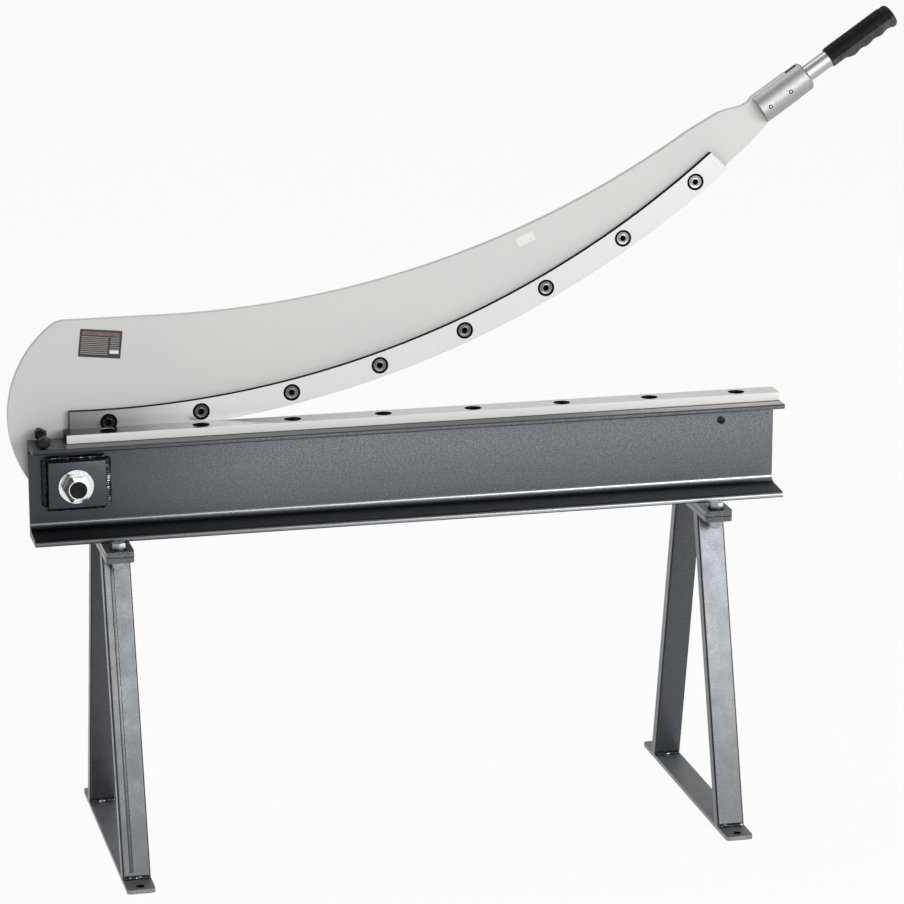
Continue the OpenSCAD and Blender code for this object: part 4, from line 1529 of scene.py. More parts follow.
@dataclass
class Pivot(Assembly):
    """The block, weld, bolt, washers and nut that the arm turns on."""

    x: float = -563.773
    z: float = 537.0
    block_left: float = 38.5
    block_right: float = 43.0
    block_low: float = 32.0
    block_high: float = 35.5
    block_front: float = -8.5
    web_front: float = 14.5
    block_round: float = 1.2
    weld: float = 9.0
    weld_top: float = 5.5
    weld_right: float = 11.0
    weld_ripple: float = 3.2
    weld_grain: float = 0.5
    bolt: float = 24.0
    bolt_front: float = -32.7
    head_front: float = 46.55
    head_thick: float = 15.0
    washer: float = 50.0
    washer_thick: float = 4.0
    washer_edge: float = 0.8
    rear_washer_front: float = 42.55
    nut_flats: float = 36.0
    nut_thick: float = 19.0
    nut_land: float = 0.76
    nut_lip: float = 0.012
    shaded_turn: float = -0.2
    lit_turn: float = 0.5
    thread_pitch: float = 2.0
    thread_length: float = 26.0
    end_border: float = 0.12
    end_sink: float = 0.5

    def build(self) -> None:
        """Builds and dresses the pivot's pieces."""
        self.block()
        self.block_weld()
        self.keep("pivot_spacer", Slot.TURNED_STEEL)
        self.washers()
        self.nut()
        self.bolt_and_head()
        self.report()

    def block(self) -> None:
        """Models the welded block with its bore."""
        low = Vector((self.x - self.block_left, self.block_front, self.z - self.block_low))
        high = Vector((self.x + self.block_right, self.web_front, self.z + self.block_high))
        block = Bench.block("pivot_block_body", low * MM, high * MM)
        Bench.rounded(block, self.block_round * MM)
        depth = self.web_front - self.block_front
        drill = Bench.settle(
            Bench.round_bar("block_drill", self.bolt / 2 * MM, -OVERRUN * MM,
                            (depth + OVERRUN) * MM),
            to_front(self.x, self.web_front, self.z))
        Bench.combine(block, drill, Cut.TAKE_AWAY)
        self.finish(block, Slot.BEAM_PAINT, ["pivot_block"])

    def block_weld(self) -> None:
        """Models the weld bead round the block, with painted shade on its lower and left runs."""
        left, right = self.x - self.block_left, self.x + self.block_right
        low, high = self.z - self.block_low, self.z + self.block_high
        width, rise = right - left, high - low
        beads = []
        for name, length, height, corner, turn in (
                ("low", width, self.weld, (left, low), 0.0),
                ("right", rise, self.weld_right, (right, low), -RIGHT_ANGLE),
                ("left", rise, self.weld, (left, high), RIGHT_ANGLE),
                ("high", width, self.weld_top, (right, high), HALF_TURN)):
            bead = WeldBead("block_bead_" + name, length, self.weld, height, self.weld_ripple,
                            self.weld_grain).make()
            # The lower and left beads get the darker weld paint as painted shade; the others keep
            # the painted highlights.
            shaded = name in ("low", "left")
            bead.data.materials.append(self.palette.dark_weld if shaded
                                       else self.palette.of(Slot.WELD_METAL))
            place = moved(corner[0], self.web_front, corner[1])
            beads.append(Bench.settle(bead, place @ tipped(turn, "Y")))
        self.finish(Bench.welded(beads), Slot.BEAM_PAINT, ["pivot_block_weld"], SOFT_ANGLE)

    def washers(self) -> None:
        """Models the front and the rear washer."""
        ring = Bench.washer("pivot_washer_pair", self.washer / 2 * MM, self.bolt / 2 * MM,
                            self.washer_thick * MM, self.washer_edge * MM, (FINE, MEDIUM))
        rear = self.rear_washer_front + self.washer_thick
        ring = Bench.copied(ring, [to_front(self.x, self.block_front, self.z),
                                   to_front(self.x, rear, self.z)])
        self.finish(ring, Slot.ZINC, ["pivot_washers"])

    def nut(self) -> None:
        """Models the chamfered nut, with painted shade on its sides, deepest on the faces that turn
        to the left.
        """
        nut = Bench.hexagon("pivot_nut_body", self.nut_flats * MM, self.nut_thick * MM,
                            self.bolt * MM, land_share=self.nut_land, lip_share=self.nut_lip)
        for finish in (self.palette.of(Slot.ZINC), self.palette.zinc_in_deep_shade, self.palette.zinc_in_shade):
            nut.data.materials.append(finish)
        Bench.settle(nut, to_front(self.x, self.block_front - self.washer_thick, self.z)
                     @ tipped(RIGHT_ANGLE, "Z"))
        for face in nut.data.polygons:
            if face.normal.x < self.shaded_turn:
                face.material_index = 1
            elif abs(face.normal.y) < self.lit_turn:
                face.material_index = 2
        self.finish(nut, Slot.ZINC, ["pivot_nut"])

    def bolt_and_head(self) -> None:
        """Models the bolt with its threaded front end and its head behind the arm."""
        length = self.head_front - self.bolt_front
        smooth = (length - self.thread_length) * MM
        shank = Bench.round_bar("pivot_shank", self.bolt / 2 * MM, 0, smooth)
        end = Bench.threaded("pivot_thread", self.bolt / 2 * MM, smooth, length * MM,
                             self.thread_pitch * MM)
        Bench.pick(end, Pick.FACES, lambda middle, normal: normal.z > SQUARE_ON)
        bpy.ops.mesh.inset(thickness=self.bolt * self.end_border * MM)
        Bench.extruded(0, 0, -self.end_sink * MM)
        Bench.done()
        head = Bench.hexagon("pivot_head", self.nut_flats * MM, self.head_thick * MM)
        Bench.settle(head, tipped(HALF_TURN, "X"))
        bolt = Bench.welded([shank, end, head])
        bolt.name = "pivot_bolt_body"
        Bench.settle(bolt, to_front(self.x, self.head_front, self.z))
        self.finish(bolt, Slot.BLACK_STEEL, ["pivot_bolt"])


@dataclass
class Stand(Assembly):
    """One welded stand with its bolts, under one end of the beam."""

    side: str = "left"
    x: float = LEFT_STAND_X
    beam_base: float = 460.0
    leg_top: float = 444.0
    foot_top: float = 6.0
    width: float = 40.0
    leg_depth: float = 20.0
    leg_radius: float = 3.0
    bottom_face: float = 171.0
    front_face: float = 44.5
    back_face: float = 78.44
    weld: float = 5.25
    weld_ripple: float = 2.4
    front_bolt: float = -71.5
    rear_bolt: float = 41.0
    bolt: float = 12.0
    flats: float = 18.0
    head: float = 7.5
    nut: float = 10.8
    washer: float = 24.0
    washer_thick: float = 2.5
    washer_edge: float = 0.4
    bolt_end: float = 3.0
    thread_length: float = 18.0
    bright_turn: float = 0.5
    pitch: float = 1.75
    plate_edge: float = 1.3
    plate_corner: float = 6.0
    corner_steps: int = 6
    gap: float = 1.0
    gap_shows: float = 0.12
    seam: bool = True
    seam_shift: float = -7.0
    seam_width: float = 3.6
    seam_rise: float = 0.35
    seam_round: float = 0.8
    line_share: float = 0.3
    seam_gap: float = 0.9
    seam_inset: float = 9.0

    def build(self) -> None:
        """Builds and dresses the stand's pieces."""
        for part in ("front_leg", "back_leg"):
            self.keep(f"{self.side}_{part}", Slot.STAND_PAINT)
        for part, paint in (("pad_plate", self.palette.plates), ("top_plate", self.palette.plates),
                            ("foot", self.palette.foot(self.side, self.x))):
            self.keep(f"{self.side}_{part}", Slot.STAND_PAINT, paint, self.plate_edge)
        self.plate_gap()
        if self.seam:
            self.leg_seam()
        self.leg_welds()
        self.bolts()
        self.washers()
        self.nuts()
        self.report()

    def at_bolts(self, z: float) -> list[Matrix]:
        """Where both bolts are, at a height."""
        return [moved(self.x, y, z) for y in (self.front_bolt, self.rear_bolt)]

    def plate_gap(self) -> None:
        """Models the gap between the two plates as a thin dark sheet that just shows round them:
        painted shade.
        """
        low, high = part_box(f"{self.side}_top_plate")
        reach = metres(self.gap_shows, self.gap_shows, self.gap / 2)
        top = Vector((low.x, low.y, high.z))
        sheet = Bench.block(f"{self.side}_plate_gap", top - reach, high + reach)
        Bench.pick(sheet, Pick.EDGES, lambda middle, direction: abs(direction.z) > SQUARE_ON)
        bpy.ops.mesh.bevel(offset=self.plate_corner * MM, segments=self.corner_steps,
                           affect="EDGES")
        Bench.done()
        self.finish(sheet, Slot.STAND_PAINT, material=self.palette.seam_gap)

    def leg_seam(self) -> None:
        """Models the front tube's long seam: a low flat ridge between two dark lines."""
        rise = self.leg_top - self.foot_top
        lean = math.atan((self.bottom_face - self.front_face) / rise)
        length = rise / math.cos(lean)
        half, outer = self.seam_width / 2, self.seam_width / 2 + self.seam_gap
        low = self.seam_rise * self.line_share
        strips = []
        for name, left, right, height in (("ridge", -half, half, self.seam_rise),
                                          ("line_left", -outer, -half, low),
                                          ("line_right", half, outer, low)):
            strip = Bench.block(f"{self.side}_seam_{name}",
                                metres(left, -height, self.seam_inset),
                                metres(right, height, length - self.seam_inset))
            strip.data.materials.append(self.palette.dark_weld if name.startswith("line")
                                        else self.palette.of(Slot.STAND_PAINT))
            strips.append(strip)
        Bench.rounded(strips[0], self.seam_rise * self.seam_round * MM)
        seam = Bench.welded(strips)
        seam.name = f"{self.side}_leg_seam"
        place = moved(self.x + self.seam_shift, -self.bottom_face, self.foot_top)
        Bench.settle(seam, place @ tipped(-lean, "X"))
        self.finish(seam, Slot.STAND_PAINT)

    @property
    def run(self) -> float:
        """Length of a bead: the leg's width between its rounded corners."""
        return self.width - 2 * self.leg_radius

    def leg_welds(self) -> None:
        """Models the eight beads at the ends of the legs."""
        bead = WeldBead(f"{self.side}_leg_beads", self.run, self.weld, self.weld,
                        self.weld_ripple).make()
        places = []
        for side, top in ((-1, self.front_face), (1, self.back_face)):
            lean = math.atan((self.bottom_face - top) / (self.leg_top - self.foot_top))
            across = self.leg_depth / math.cos(lean)
            for z, face, up in ((self.foot_top, self.bottom_face, 1), (self.leg_top, top, -1)):
                places.append(self.bead_place(side * face, z, side, up, lean))
                places.append(self.bead_place(side * (face - across), z, -side, up, -lean))
        self.finish(Bench.copied(bead, places), Slot.WELD_METAL,
                    [f"{self.side}_stand_welds"], SOFT_ANGLE)

    def bead_place(self, y: float, z: float, side: int, up: int, lean: float) -> Matrix:
        """Where a bead lies, in the corner between a leg's face and a plate.

        Args:
            y: Depth of the corner.
            z: Height of the corner.
            side: 1 where the bead is behind the face, -1 where it is in front of it.
            up: 1 where the bead is above the plate, -1 where it is below.
            lean: The leg's lean, away from the bead, in radians.

        Returns:
            The place.
        """
        turn = Matrix.Identity(4)
        start = self.x - self.run / 2
        if side > 0:
            turn = tipped(HALF_TURN, "Z")
            start = self.x + self.run / 2
        if up > 0:
            turn = turn @ tipped(-RIGHT_ANGLE, "X")
        return moved(start, y, z) @ tipped(lean / 2 * side * up, "X") @ turn

    def bolts(self) -> None:
        """Models both bolts with chamfered heads and threaded ends, in bright zinc on the head's
        upper and right faces and in the duller zinc elsewhere: painted light and shade.
        """
        low = self.leg_top - self.nut - self.bolt_end
        under_head = (self.beam_base + self.washer_thick - low) * MM
        thread_end = self.thread_length * MM
        head = Bench.hexagon(f"{self.side}_bolt_pair", self.flats * MM, self.head * MM,
                             both_ends=False)
        Bench.settle(head, Matrix.Translation((0, 0, under_head)))
        thread = Bench.threaded("bolt_thread", self.bolt / 2 * MM, -thread_end, 0,
                                self.pitch * MM)
        Bench.settle(thread, tipped(HALF_TURN, "X"))
        shank = Bench.round_bar("bolt_shank", self.bolt / 2 * MM, thread_end, under_head, COARSE)
        bolt = Bench.welded([head, thread, shank])
        for finish in (self.palette.zinc_in_shade, self.palette.of(Slot.ZINC)):
            bolt.data.materials.append(finish)
        for face in bolt.data.polygons:
            if face.center.z > under_head:
                face.material_index = int(max(face.normal.z, face.normal.x) > self.bright_turn)
        self.finish(Bench.copied(bolt, self.at_bolts(low)), Slot.ZINC,
                    [f"{self.side}_stand_bolts"])

    def washers(self) -> None:
        """Models both washers, in the darker zinc: painted shade."""
        ring = Bench.washer(f"{self.side}_washer_pair", self.washer / 2 * MM, self.bolt / 2 * MM,
                            self.washer_thick * MM, self.washer_edge * MM, (MEDIUM, COARSE))
        self.finish(Bench.copied(ring, self.at_bolts(self.beam_base)), Slot.ZINC,
                    [f"{self.side}_stand_washers"], material=self.palette.zinc_in_deep_shade)

    def nuts(self) -> None:
        """Models both nuts, in the duller zinc: painted shade."""
        nut = Bench.hexagon(f"{self.side}_nut_pair", self.flats * MM, self.nut * MM, self.bolt * MM)
        self.finish(Bench.copied(nut, self.at_bolts(self.leg_top - self.nut)), Slot.ZINC,
                    [f"{self.side}_stand_nuts"], material=self.palette.zinc_in_shade)


@dataclass
class Arm(Assembly):
    """The arm plate with its blade, fasteners, stop bolt and plates."""

    pivot_x: float = -563.773
    table: float = 612.0
    face: float = 32.45
    back: float = 42.45
    cut_x: float = -523.773
    cut_z: float = 2019.1
    screw_arc: float = 1400.5
    first_angle: float = 0.52
    last_angle: float = 38.48
    screws: int = 8
    screw: float = 12.0
    screw_face: float = 22.95
    screw_head: float = 24.6
    screw_head_high: float = 6.0
    screw_key: float = 8.0
    screw_key_deep: float = 4.5
    screw_end: float = 3.0
    rim: float = 0.5
    rim_slope: float = 0.6
    rim_groove: float = 0.5
    face_share: float = 0.74
    ring_groove: float = 0.3
    ring_shares: Triple = (0.74, 0.68, 0.6)
    face_margin: float = 0.1
    face_turn: float = 0.3
    nut_flats: float = 18.0
    nut: float = 10.8
    stop_x: float = -608.97
    stop_z: float = 609.388
    stop: float = 10.0
    stop_flats: float = 16.0
    stop_head: float = 6.4
    stop_front: float = -34.05
    stop_nut: float = 8.4
    stop_nut_front: float = 9.45
    stop_end: float = 3.0
    pitch: float = 1.5
    sink_share: float = 0.25
    corner_steps: int = 4
    plate_size: Triple = (60.0, 40.0, 0.4)
    plate_corner: float = 1.5
    plate_border: float = 1.2
    plate_place: Pair = (45.0, 118.5)
    plate_turn: float = 6.2
    face_play: float = 0.02
    header: Pair = (11.5, 17.0)
    row_first: float = 8.6
    row_pitch: float = 2.7
    row_height: float = 1.2
    rows: int = 10
    rows_x: Pair = (-27.0, 11.0)
    field_x: Pair = (14.0, 26.8)
    field_z: Pair = (-13.4, -8.4)
    label_size: Triple = (27.0, 13.4, 0.4)
    label_corner: float = 1.0
    label_border: float = 0.6
    label_place: Pair = (661.5, 237.5)
    label_turn: float = -21.5

    def build(self) -> None:
        """Builds and dresses the arm's pieces."""
        self.keep("arm_plate", Slot.ARM_PAINT)
        self.keep("pivot_bush", Slot.BRONZE)
        self.keep("upper_blade", Slot.BLADE_STEEL)
        self.blade_screws()
        self.blade_nuts()
        self.stop_bolt()
        self.stop_nuts()
        self.nameplate()
        self.small_label()
        self.report()

    def at_screws(self, y: float) -> list[Matrix]:
        """Where the blade's screws are, at a depth.

        Args:
            y: The depth.

        Returns:
            The places.
        """
        places = []
        for i in range(self.screws):
            angle = math.radians(self.first_angle
                                 + (self.last_angle - self.first_angle) * i / (self.screws - 1))
            x = self.cut_x + self.screw_arc * math.sin(angle)
            z = self.cut_z - self.screw_arc * math.cos(angle)
            places.append(to_front(x, y, z) @ tipped(RIGHT_ANGLE, "Z"))
        return places

    def blade_nuts(self) -> None:
        """Models the nuts behind the plate."""
        nut = Bench.hexagon("blade_nut_row", self.nut_flats * MM, self.nut * MM, self.screw * MM)
        self.finish(Bench.copied(nut, self.at_screws(self.back + self.nut)), Slot.ZINC,
                    ["upper_blade_nuts"])

    def blade_screws(self) -> None:
        """Models the countersunk screws: a black rim in painted shade of its gap, a turned grey
        face and a hexagon socket.
        """
        radius, shank = self.screw_head / 2, self.screw / 2
        length = self.back + self.nut + self.screw_end - self.screw_face
        face, inside = radius * self.face_share, radius - self.rim
        outer, middle, inner = (face * share for share in self.ring_shares)
        screw = Bench.turned("blade_screw_row", [(r * MM, h * MM) for r, h in (
            (shank, -length), (shank, -self.screw_head_high), (radius, 0.0), (inside, 0.0),
            (inside - self.rim_slope, -self.rim_groove), (face + self.rim, -self.rim_groove),
            (face, 0.0), (outer, 0.0), (middle, -self.ring_groove), (inner, 0.0))], PLAIN)
        key = self.screw_key / 2 / math.cos(HEXAGON_ANGLE)
        socket = Bench.round_bar("screw_socket", key * MM, -self.screw_key_deep * MM,
                                 OVERRUN * MM, HEXAGON_SIDES)
        Bench.combine(screw, socket, Cut.TAKE_AWAY)
        screw.data.materials.append(self.palette.matt_black)
        screw.data.materials.append(self.palette.head_face)
        for side in screw.data.polygons:
            place = side.center / MM
            turned = (math.hypot(place.x, place.y) < face + self.face_margin
                      and place.z > -self.ring_groove)
            side.material_index = int(turned and side.normal.z > self.face_turn)
        self.finish(Bench.copied(screw, self.at_screws(self.screw_face)), Slot.BLACK_STEEL,
                    ["upper_blade_screws"])

    def stop_bolt(self) -> None:
        """Models the stop bolt, threaded over its whole length."""
        length = self.back + self.stop_nut + self.stop_end - self.stop_front - self.stop_head
        head = Bench.hexagon("stop_bolt_body", self.stop_flats * MM, self.stop_head * MM,
                             both_ends=False)
        thread = Bench.threaded("stop_thread", self.stop / 2 * MM, 0, length * MM, self.pitch * MM)
        Bench.settle(thread, tipped(HALF_TURN, "X"))
        bolt = Bench.settle(Bench.welded([head, thread]),
                            to_front(self.stop_x, self.stop_front + self.stop_head, self.stop_z))
        self.finish(bolt, Slot.DARK_ZINC, ["stop_bolt"])

    def stop_nuts(self) -> None:
        """Models the two nuts on the stop bolt."""
        nut = Bench.hexagon("stop_nut_pair", self.stop_flats * MM, self.stop_nut * MM,
                            self.stop * MM)
        places = [to_front(self.stop_x, y + self.stop_nut, self.stop_z)
                  for y in (self.stop_nut_front, self.back)]
        self.finish(Bench.copied(nut, places), Slot.DARK_ZINC, ["stop_nuts"])

    def plate(self, name: str, size: Triple, corner: float, border: float) -> Piece:
        """Models a thin plate about zero that faces the front, with a border round its face.

        Args:
            name: The piece's name.
            size: Its width, height and thickness.
            corner: Radius of its corners.
            border: Width of its border.

        Returns:
            The plate.
        """
        width, height, thick = size
        plate = Bench.block(name, metres(-width / 2, -thick, -height / 2),
                            metres(width / 2, 0, height / 2))
        Bench.pick(plate, Pick.EDGES, lambda middle, direction: abs(direction.y) > SQUARE_ON)
        bpy.ops.mesh.bevel(offset=corner * MM, segments=self.corner_steps, affect="EDGES")
        Bench.done()
        Bench.pick(plate, Pick.FACES, lambda middle, normal: normal.y < -SQUARE_ON)
        bpy.ops.mesh.inset(thickness=border * MM)
        Bench.extruded(0, thick * self.sink_share * MM, 0)
        Bench.done()
        return plate

    def mount(self, plate: Piece, place: Pair, turn: float) -> None:
        """Puts a plate on the arm's face."""
        Bench.settle(plate, moved(self.pivot_x + place[0], self.face, self.table + place[1])
                     @ tipped(math.radians(turn), "Y"))

    def nameplate(self) -> None:
        """Models the nameplate: a dark face with a header band, ruled lines and an empty field."""
        plate = self.plate("nameplate_body", self.plate_size, self.plate_corner,
                           self.plate_border)
        for finish in (self.palette.of(Slot.NAMEPLATE_FACE), self.palette.header,
                       self.palette.rule, self.palette.of(Slot.LABEL_FACE)):
            plate.data.materials.append(finish)
        face_y = -self.plate_size[2] * (1 - self.sink_share) - self.face_play
        lows = [self.row_first - self.row_pitch * i for i in range(self.rows)]
        cuts = [((0, 0, z), (0, 0, 1)) for low in lows for z in (low, low + self.row_height)]
        cuts += [((0, 0, z), (0, 0, 1)) for z in (*self.header, *self.field_z)]
        cuts += [((x, 0, 0), (1, 0, 0)) for x in (*self.rows_x, *self.field_x)]
        for point, normal in cuts:
            Bench.pick(plate, Pick.FACES,
                       lambda middle, facing: facing.y < -SQUARE_ON and middle.y > face_y * MM)
            bpy.ops.mesh.bisect(plane_co=metres(*point), plane_no=normal)
            Bench.done()
        for face in plate.data.polygons:
            middle = face.center / MM
            if face.normal.y > -SQUARE_ON or middle.y < face_y:
                continue
            face.material_index = self.print_at(middle.x, middle.z, lows)
        self.mount(plate, self.plate_place, self.plate_turn)
        self.finish(plate, Slot.NAMEPLATE_FACE, ["nameplate"])

    def print_at(self, x: float, z: float, lows: Sequence[float]) -> int:
        """Which ink the nameplate has at a place.

        Args:
            x: Distance from its middle to the right.
            z: Distance from its middle up.
            lows: Lower edge of each ruled line.

        Returns:
            0 for the ground, 1 for the header, 2 for a line, 3 for the field.
        """
        left = self.rows_x[0] < x < self.rows_x[1]
        right = self.field_x[0] < x < self.field_x[1]
        if self.header[0] < z < self.header[1] and self.rows_x[0] < x < self.field_x[1]:
            return 1
        if right and self.field_z[0] < z < self.field_z[1]:
            return 3
        ruled = any(low < z < low + self.row_height for low in lows)
        return 2 if ruled and (left or right and z > self.field_z[1] + self.row_height) else 0

    def small_label(self) -> None:
        """Models the small pale label."""
        plate = self.plate("small_label_body", self.label_size, self.label_corner,
                           self.label_border)
        self.mount(plate, self.label_place, self.label_turn)
        self.finish(plate, Slot.LABEL_FACE, ["small_label"])


@dataclass
class Handle(Assembly):
    """The socket with its pins, the rod and the rubber grip."""

    start_x: float = 446.203
    start_z: float = 1021.54
    axis_y: float = 37.45
    angle: float = 34.3
    socket: float = 44.0
    socket_length: float = 85.0
    pin: float = 6.0
    pin_stand: float = 0.1
    pin_dome: float = 0.5
    pin_peak: float = 0.2
    pin_play: float = 0.01
    pin_tip_shares: Pair = (0.42, 0.8)
    pin_shares: Pair = (0.154, 0.583)
    rod: float = 25.0
    rod_gap: float = 40.0
    grip_length: float = 113.0
    grip: float = 29.5
    start_inset: float = 1.0
    start_length: float = 1.2
    end_length: float = 2.0
    drop: float = 3.0
    finger_start: float = 21.0
    finger_ramp: float = 9.0
    finger_pitch: float = 23.5
    finger_first: float = 36.0
    finger: float = 30.6
    wave: float = 1.0
    wave_steps: int = 60
    end_steps: int = 6
    collar: float = 34.8
    collar_length: float = 11.0
    end_round: float = 6.0
    cap: float = 8.0
    skin: float = 0.42
    rib_pitch: float = 3.1
    rib: float = 0.95
    rib_first: float = 5.0
    rib_side: float = 2.0
    rib_steps: int = 10

    def build(self) -> None:
        """Builds and dresses the handle's pieces."""
        self.keep("handle_socket", Slot.TURNED_STEEL)
        self.keep("handle_rod", Slot.TURNED_STEEL, self.palette.rod)
        self.pins()
        self.rubber()
        self.report()

    @property
    def place(self) -> Matrix:
        """The handle's own frame: Z along its axis, X down, Y to the back."""
        return (moved(self.start_x, self.axis_y, self.start_z)
                @ tipped(RIGHT_ANGLE - math.radians(self.angle), "Y"))

    def pins(self) -> None:
        """Models the two pins with slightly domed ends."""
        half, radius = self.socket / 2 + self.pin_stand, self.pin / 2
        peak = half + self.pin_peak
        tip, shoulder = (radius * share for share in self.pin_tip_shares)
        upper = [(radius, half - self.pin_dome), (shoulder, half), (tip, peak)]
        lower = [(r, -h) for r, h in reversed(upper)]
        pin = Bench.turned("socket_pin_pair", [(r * MM, h * MM) for r, h in lower + upper], COARSE)
        places = [self.place @ Matrix.Translation((0, 0, self.socket_length * share * MM))
                  @ tipped(RIGHT_ANGLE, "X") for share in self.pin_shares]
        pin.data.materials.append(self.palette.of(Slot.BLACK_STEEL))
        pin.data.materials.append(self.palette.of(Slot.ZINC))
        for face in pin.data.polygons:
            face.material_index = int(abs(face.center.z) > (peak - self.pin_play) * MM)
        self.finish(Bench.copied(pin, places), Slot.BLACK_STEEL, ["socket_pins"])

    def finger_profile(self) -> list[tuple[float, float]]:
        """Half section of the finger side, from its start to the grip's rounded end.

        Returns:
            Radius and height of each step, in metres.
        """
        first = self.finger_start + self.finger_ramp
        last = self.grip_length - self.collar_length
        points = [(self.grip / 2 - self.drop, self.finger_start)]
        for i in range(self.wave_steps + 1):
            s = first + (last - first) * i / self.wave_steps
            swing = math.cos(math.tau * (s - self.finger_first) / self.finger_pitch)
            points.append((self.finger / 2 + self.wave * swing, s))
        points.append((self.collar / 2, last + self.end_round / 2))
        for i in range(self.end_steps):
            turn = RIGHT_ANGLE * i / self.end_steps
            points.append((self.collar / 2 - self.end_round * (1 - math.cos(turn)),
                           self.grip_length - self.end_round * (1 - math.sin(turn))))
        points.append((self.collar / 2 - self.end_round, self.grip_length))
        return [(r * MM, s * MM) for r, s in points]

    def rubber(self) -> None:
        """Models the grip: ribbed on top, waved for the fingers below, with a round collar."""
        radius = self.grip / 2
        last = self.grip_length - self.collar_length
        core = Bench.turned("grip_body", [(r * MM, h * MM) for r, h in (
            (radius - self.start_inset, 0), (radius, self.start_length), (radius, last),
            (radius - self.start_inset, last + self.end_length))], FINE)
        fingers = Bench.turned("grip_fingers", self.finger_profile(), FINE, self.drop * MM)
        grip = Bench.welded([core, fingers])
        Bench.fused(grip, self.skin * MM)
        bore = Bench.round_bar("grip_bore", self.rod / 2 * MM, -OVERRUN * MM,
                               (self.grip_length - self.cap) * MM)
        Bench.combine(grip, bore, Cut.TAKE_AWAY)
        Bench.only()
        bpy.ops.mesh.primitive_torus_add(major_radius=radius * MM, minor_radius=self.rib * MM,
                                         major_segments=FINE, minor_segments=self.rib_steps,
                                         location=(0, 0, self.rib_first * MM))
        ribs = Bench.named("grip_ribs")
        Bench.halved(ribs, Vector((self.rib_side * MM, 0, 0)), Vector((1, 0, 0)))
        Bench.row(ribs, int((last - self.rib_first) / self.rib_pitch),
                  Vector((0, 0, self.rib_pitch * MM)))
        grip = Bench.welded([grip, ribs])
        Bench.settle(grip, self.place @ Matrix.Translation(
            (0, 0, (self.socket_length + self.rod_gap) * MM)))
        self.finish(grip, Slot.GRIP_RUBBER, ["handle_grip"], SOFT_ANGLE)


@dataclass(frozen=True)
class Lamp:
    """A soft studio lamp that points at the machine."""

    name: str
    place: Triple
    width: float
    height: float
    power: float
    aim: Triple = (0.0, 0.0, 0.6)

    def hang(self) -> None:
        """Hangs the lamp."""
        data = bpy.data.lights.new(self.name, "AREA")
        data.shape = "RECTANGLE"
        data.size, data.size_y, data.energy = self.width, self.height, self.power
        lamp = bpy.data.objects.new(self.name, data)
        bpy.context.scene.collection.objects.link(lamp)
        lamp.location = self.place
        towards = Vector(self.aim) - Vector(self.place)
        lamp.rotation_euler = towards.to_track_quat("-Z", "Y").to_euler()


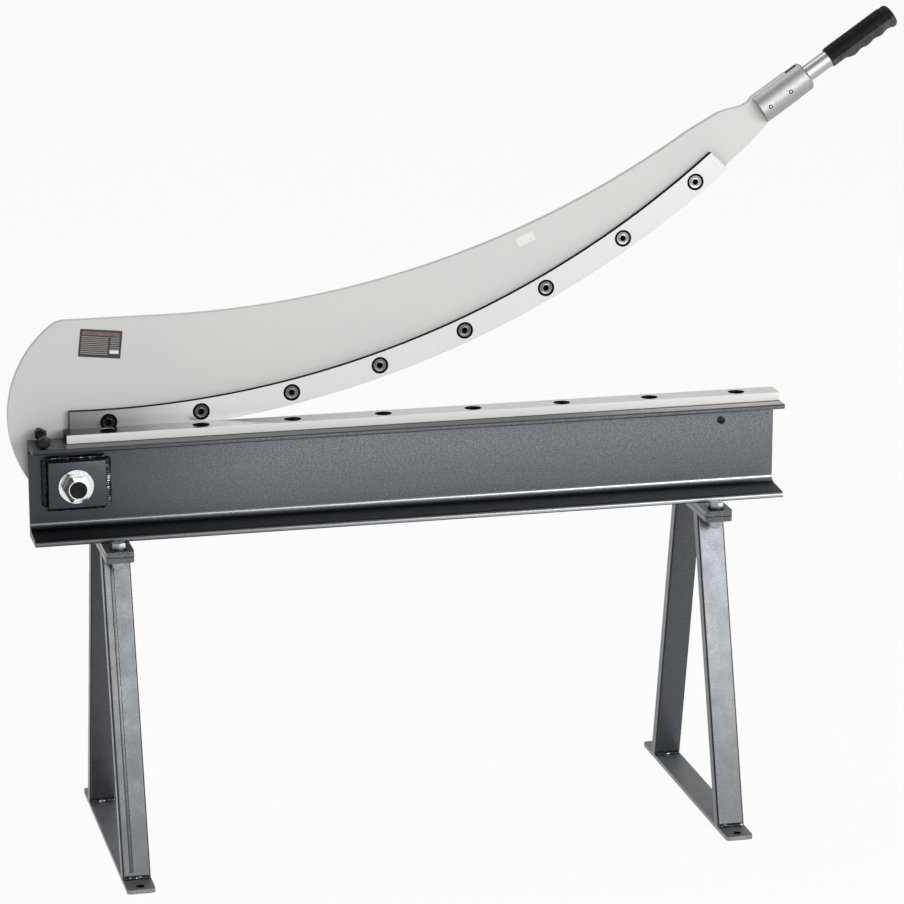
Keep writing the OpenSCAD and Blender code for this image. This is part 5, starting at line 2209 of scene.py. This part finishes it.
@dataclass
class Studio:
    """The pale floor, the lamps, the sky and the camera."""

    floor_size: float = 60.0
    floor_white: float = 0.86
    floor_glow: float = 0.94
    sky: float = 0.66
    zenith: float = 0.3
    horizon_top: float = 0.18
    zenith_from: float = 0.55
    camera_place: Triple = (-1.24790, -5.07660, 1.95382)
    camera_turn: Triple = (74.9514, 0.0539, -13.6243)
    lens: float = 149.773
    far: float = 200.0
    lamps: tuple[Lamp, ...] = (
        Lamp("key_lamp", (2.6, -3.6, 2.5), 2.4, 2.0, 92.0),
        Lamp("front_lamp", (1.15, -4.6, 1.5), 2.9, 1.1, 42.0),
        Lamp("fill_lamp", (-0.6, -4.4, 3.2), 2.4, 1.4, 26.0),
        Lamp("top_lamp", (0.2, 0.6, 3.4), 3.0, 1.2, 30.0),
    )

    def build(self) -> None:
        """Sets up the studio."""
        self.lay_floor()
        self.light_sky()
        for lamp in self.lamps:
            lamp.hang()
        self.set_camera()
        bpy.context.scene.view_settings.view_transform = "Standard"
        LOG.info("Studio: floor, sky, %d lamps and camera", len(self.lamps))

    @staticmethod
    def seen_directly(tree: bpy.types.NodeTree) -> Socket:
        """Where a surface is seen by the camera, in a mirror or through glass.

        Args:
            tree: The nodes of the floor or the sky.

        Returns:
            1 where it is seen, else 0.
        """
        path = tree.nodes.new("ShaderNodeLightPath")
        total = path.outputs["Is Camera Ray"]
        for name in ("Is Glossy Ray", "Is Transmission Ray"):
            total = computed(tree, "MAXIMUM", total, path.outputs[name])
        return total

    def lay_floor(self) -> None:
        """Lays the floor, which looks white and keeps a faint shadow."""
        Bench.only()
        bpy.ops.mesh.primitive_plane_add(size=self.floor_size, location=(0, 0, 0))
        floor = bpy.context.active_object
        floor.name = "studio_floor"
        material = bpy.data.materials.new("pale_floor")
        material.use_nodes = True
        tree = material.node_tree
        nodes, links = tree.nodes, tree.links
        nodes.clear()
        matte = nodes.new("ShaderNodeBsdfDiffuse")
        matte.inputs["Color"].default_value = (self.floor_white,) * 3 + (1,)
        glow = nodes.new("ShaderNodeEmission")
        glow.inputs["Strength"].default_value = 1.0
        mix = nodes.new("ShaderNodeMixShader")
        share = computed(tree, "MULTIPLY", self.seen_directly(tree), self.floor_glow)
        links.new(share, mix.inputs[0])
        links.new(matte.outputs[0], mix.inputs[1])
        links.new(glow.outputs[0], mix.inputs[2])
        links.new(mix.outputs[0], nodes.new("ShaderNodeOutputMaterial").inputs["Surface"])
        floor.data.materials.append(material)

    def light_sky(self) -> None:
        """Makes the sky, which is white where it is seen and softer as a light."""
        world = bpy.data.worlds.new("studio_sky")
        bpy.context.scene.world = world
        world.use_nodes = True
        tree = world.node_tree
        nodes, links = tree.nodes, tree.links
        back = nodes["Background"]
        back.inputs["Color"].default_value = (1, 1, 1, 1)
        level = nodes.new("ShaderNodeMapRange")
        level.inputs["To Min"].default_value = self.sky
        level.inputs["To Max"].default_value = 1.0
        links.new(self.seen_directly(tree), level.inputs["Value"])
        height = nodes.new("ShaderNodeSeparateXYZ")
        links.new(nodes.new("ShaderNodeTexCoord").outputs["Generated"], height.inputs["Vector"])
        fade = nodes.new("ShaderNodeMapRange")
        fade.interpolation_type = "SMOOTHSTEP"
        fade.inputs["From Min"].default_value = self.horizon_top
        fade.inputs["From Max"].default_value = self.zenith_from
        fade.inputs["To Min"].default_value = 1.0
        fade.inputs["To Max"].default_value = self.zenith
        links.new(height.outputs["Z"], fade.inputs["Value"])
        links.new(computed(tree, "MULTIPLY", level.outputs["Result"], fade.outputs["Result"]),
                  back.inputs["Strength"])

    def set_camera(self) -> None:
        """Sets the camera where the photograph was taken from."""
        data = bpy.data.cameras.new("studio_camera")
        data.lens = self.lens
        data.clip_end = self.far
        camera = bpy.data.objects.new("studio_camera", data)
        bpy.context.scene.collection.objects.link(camera)
        camera.location = self.camera_place
        camera.rotation_euler = [math.radians(turn) for turn in self.camera_turn]
        bpy.context.scene.camera = camera


def main() -> None:
    """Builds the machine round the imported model, and its studio."""
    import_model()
    palette = Palette()
    Beam(palette).build()
    Pivot(palette).build()
    Stand(palette).build()
    Stand(palette, side="right", x=RIGHT_STAND_X, seam=False).build()
    Arm(palette, Body.ARM).build()
    Handle(palette, Body.ARM).build()
    Studio().build()


if __name__ == "__main__":
    logging.basicConfig(level=logging.INFO, format="%(name)s: %(message)s")
    main()
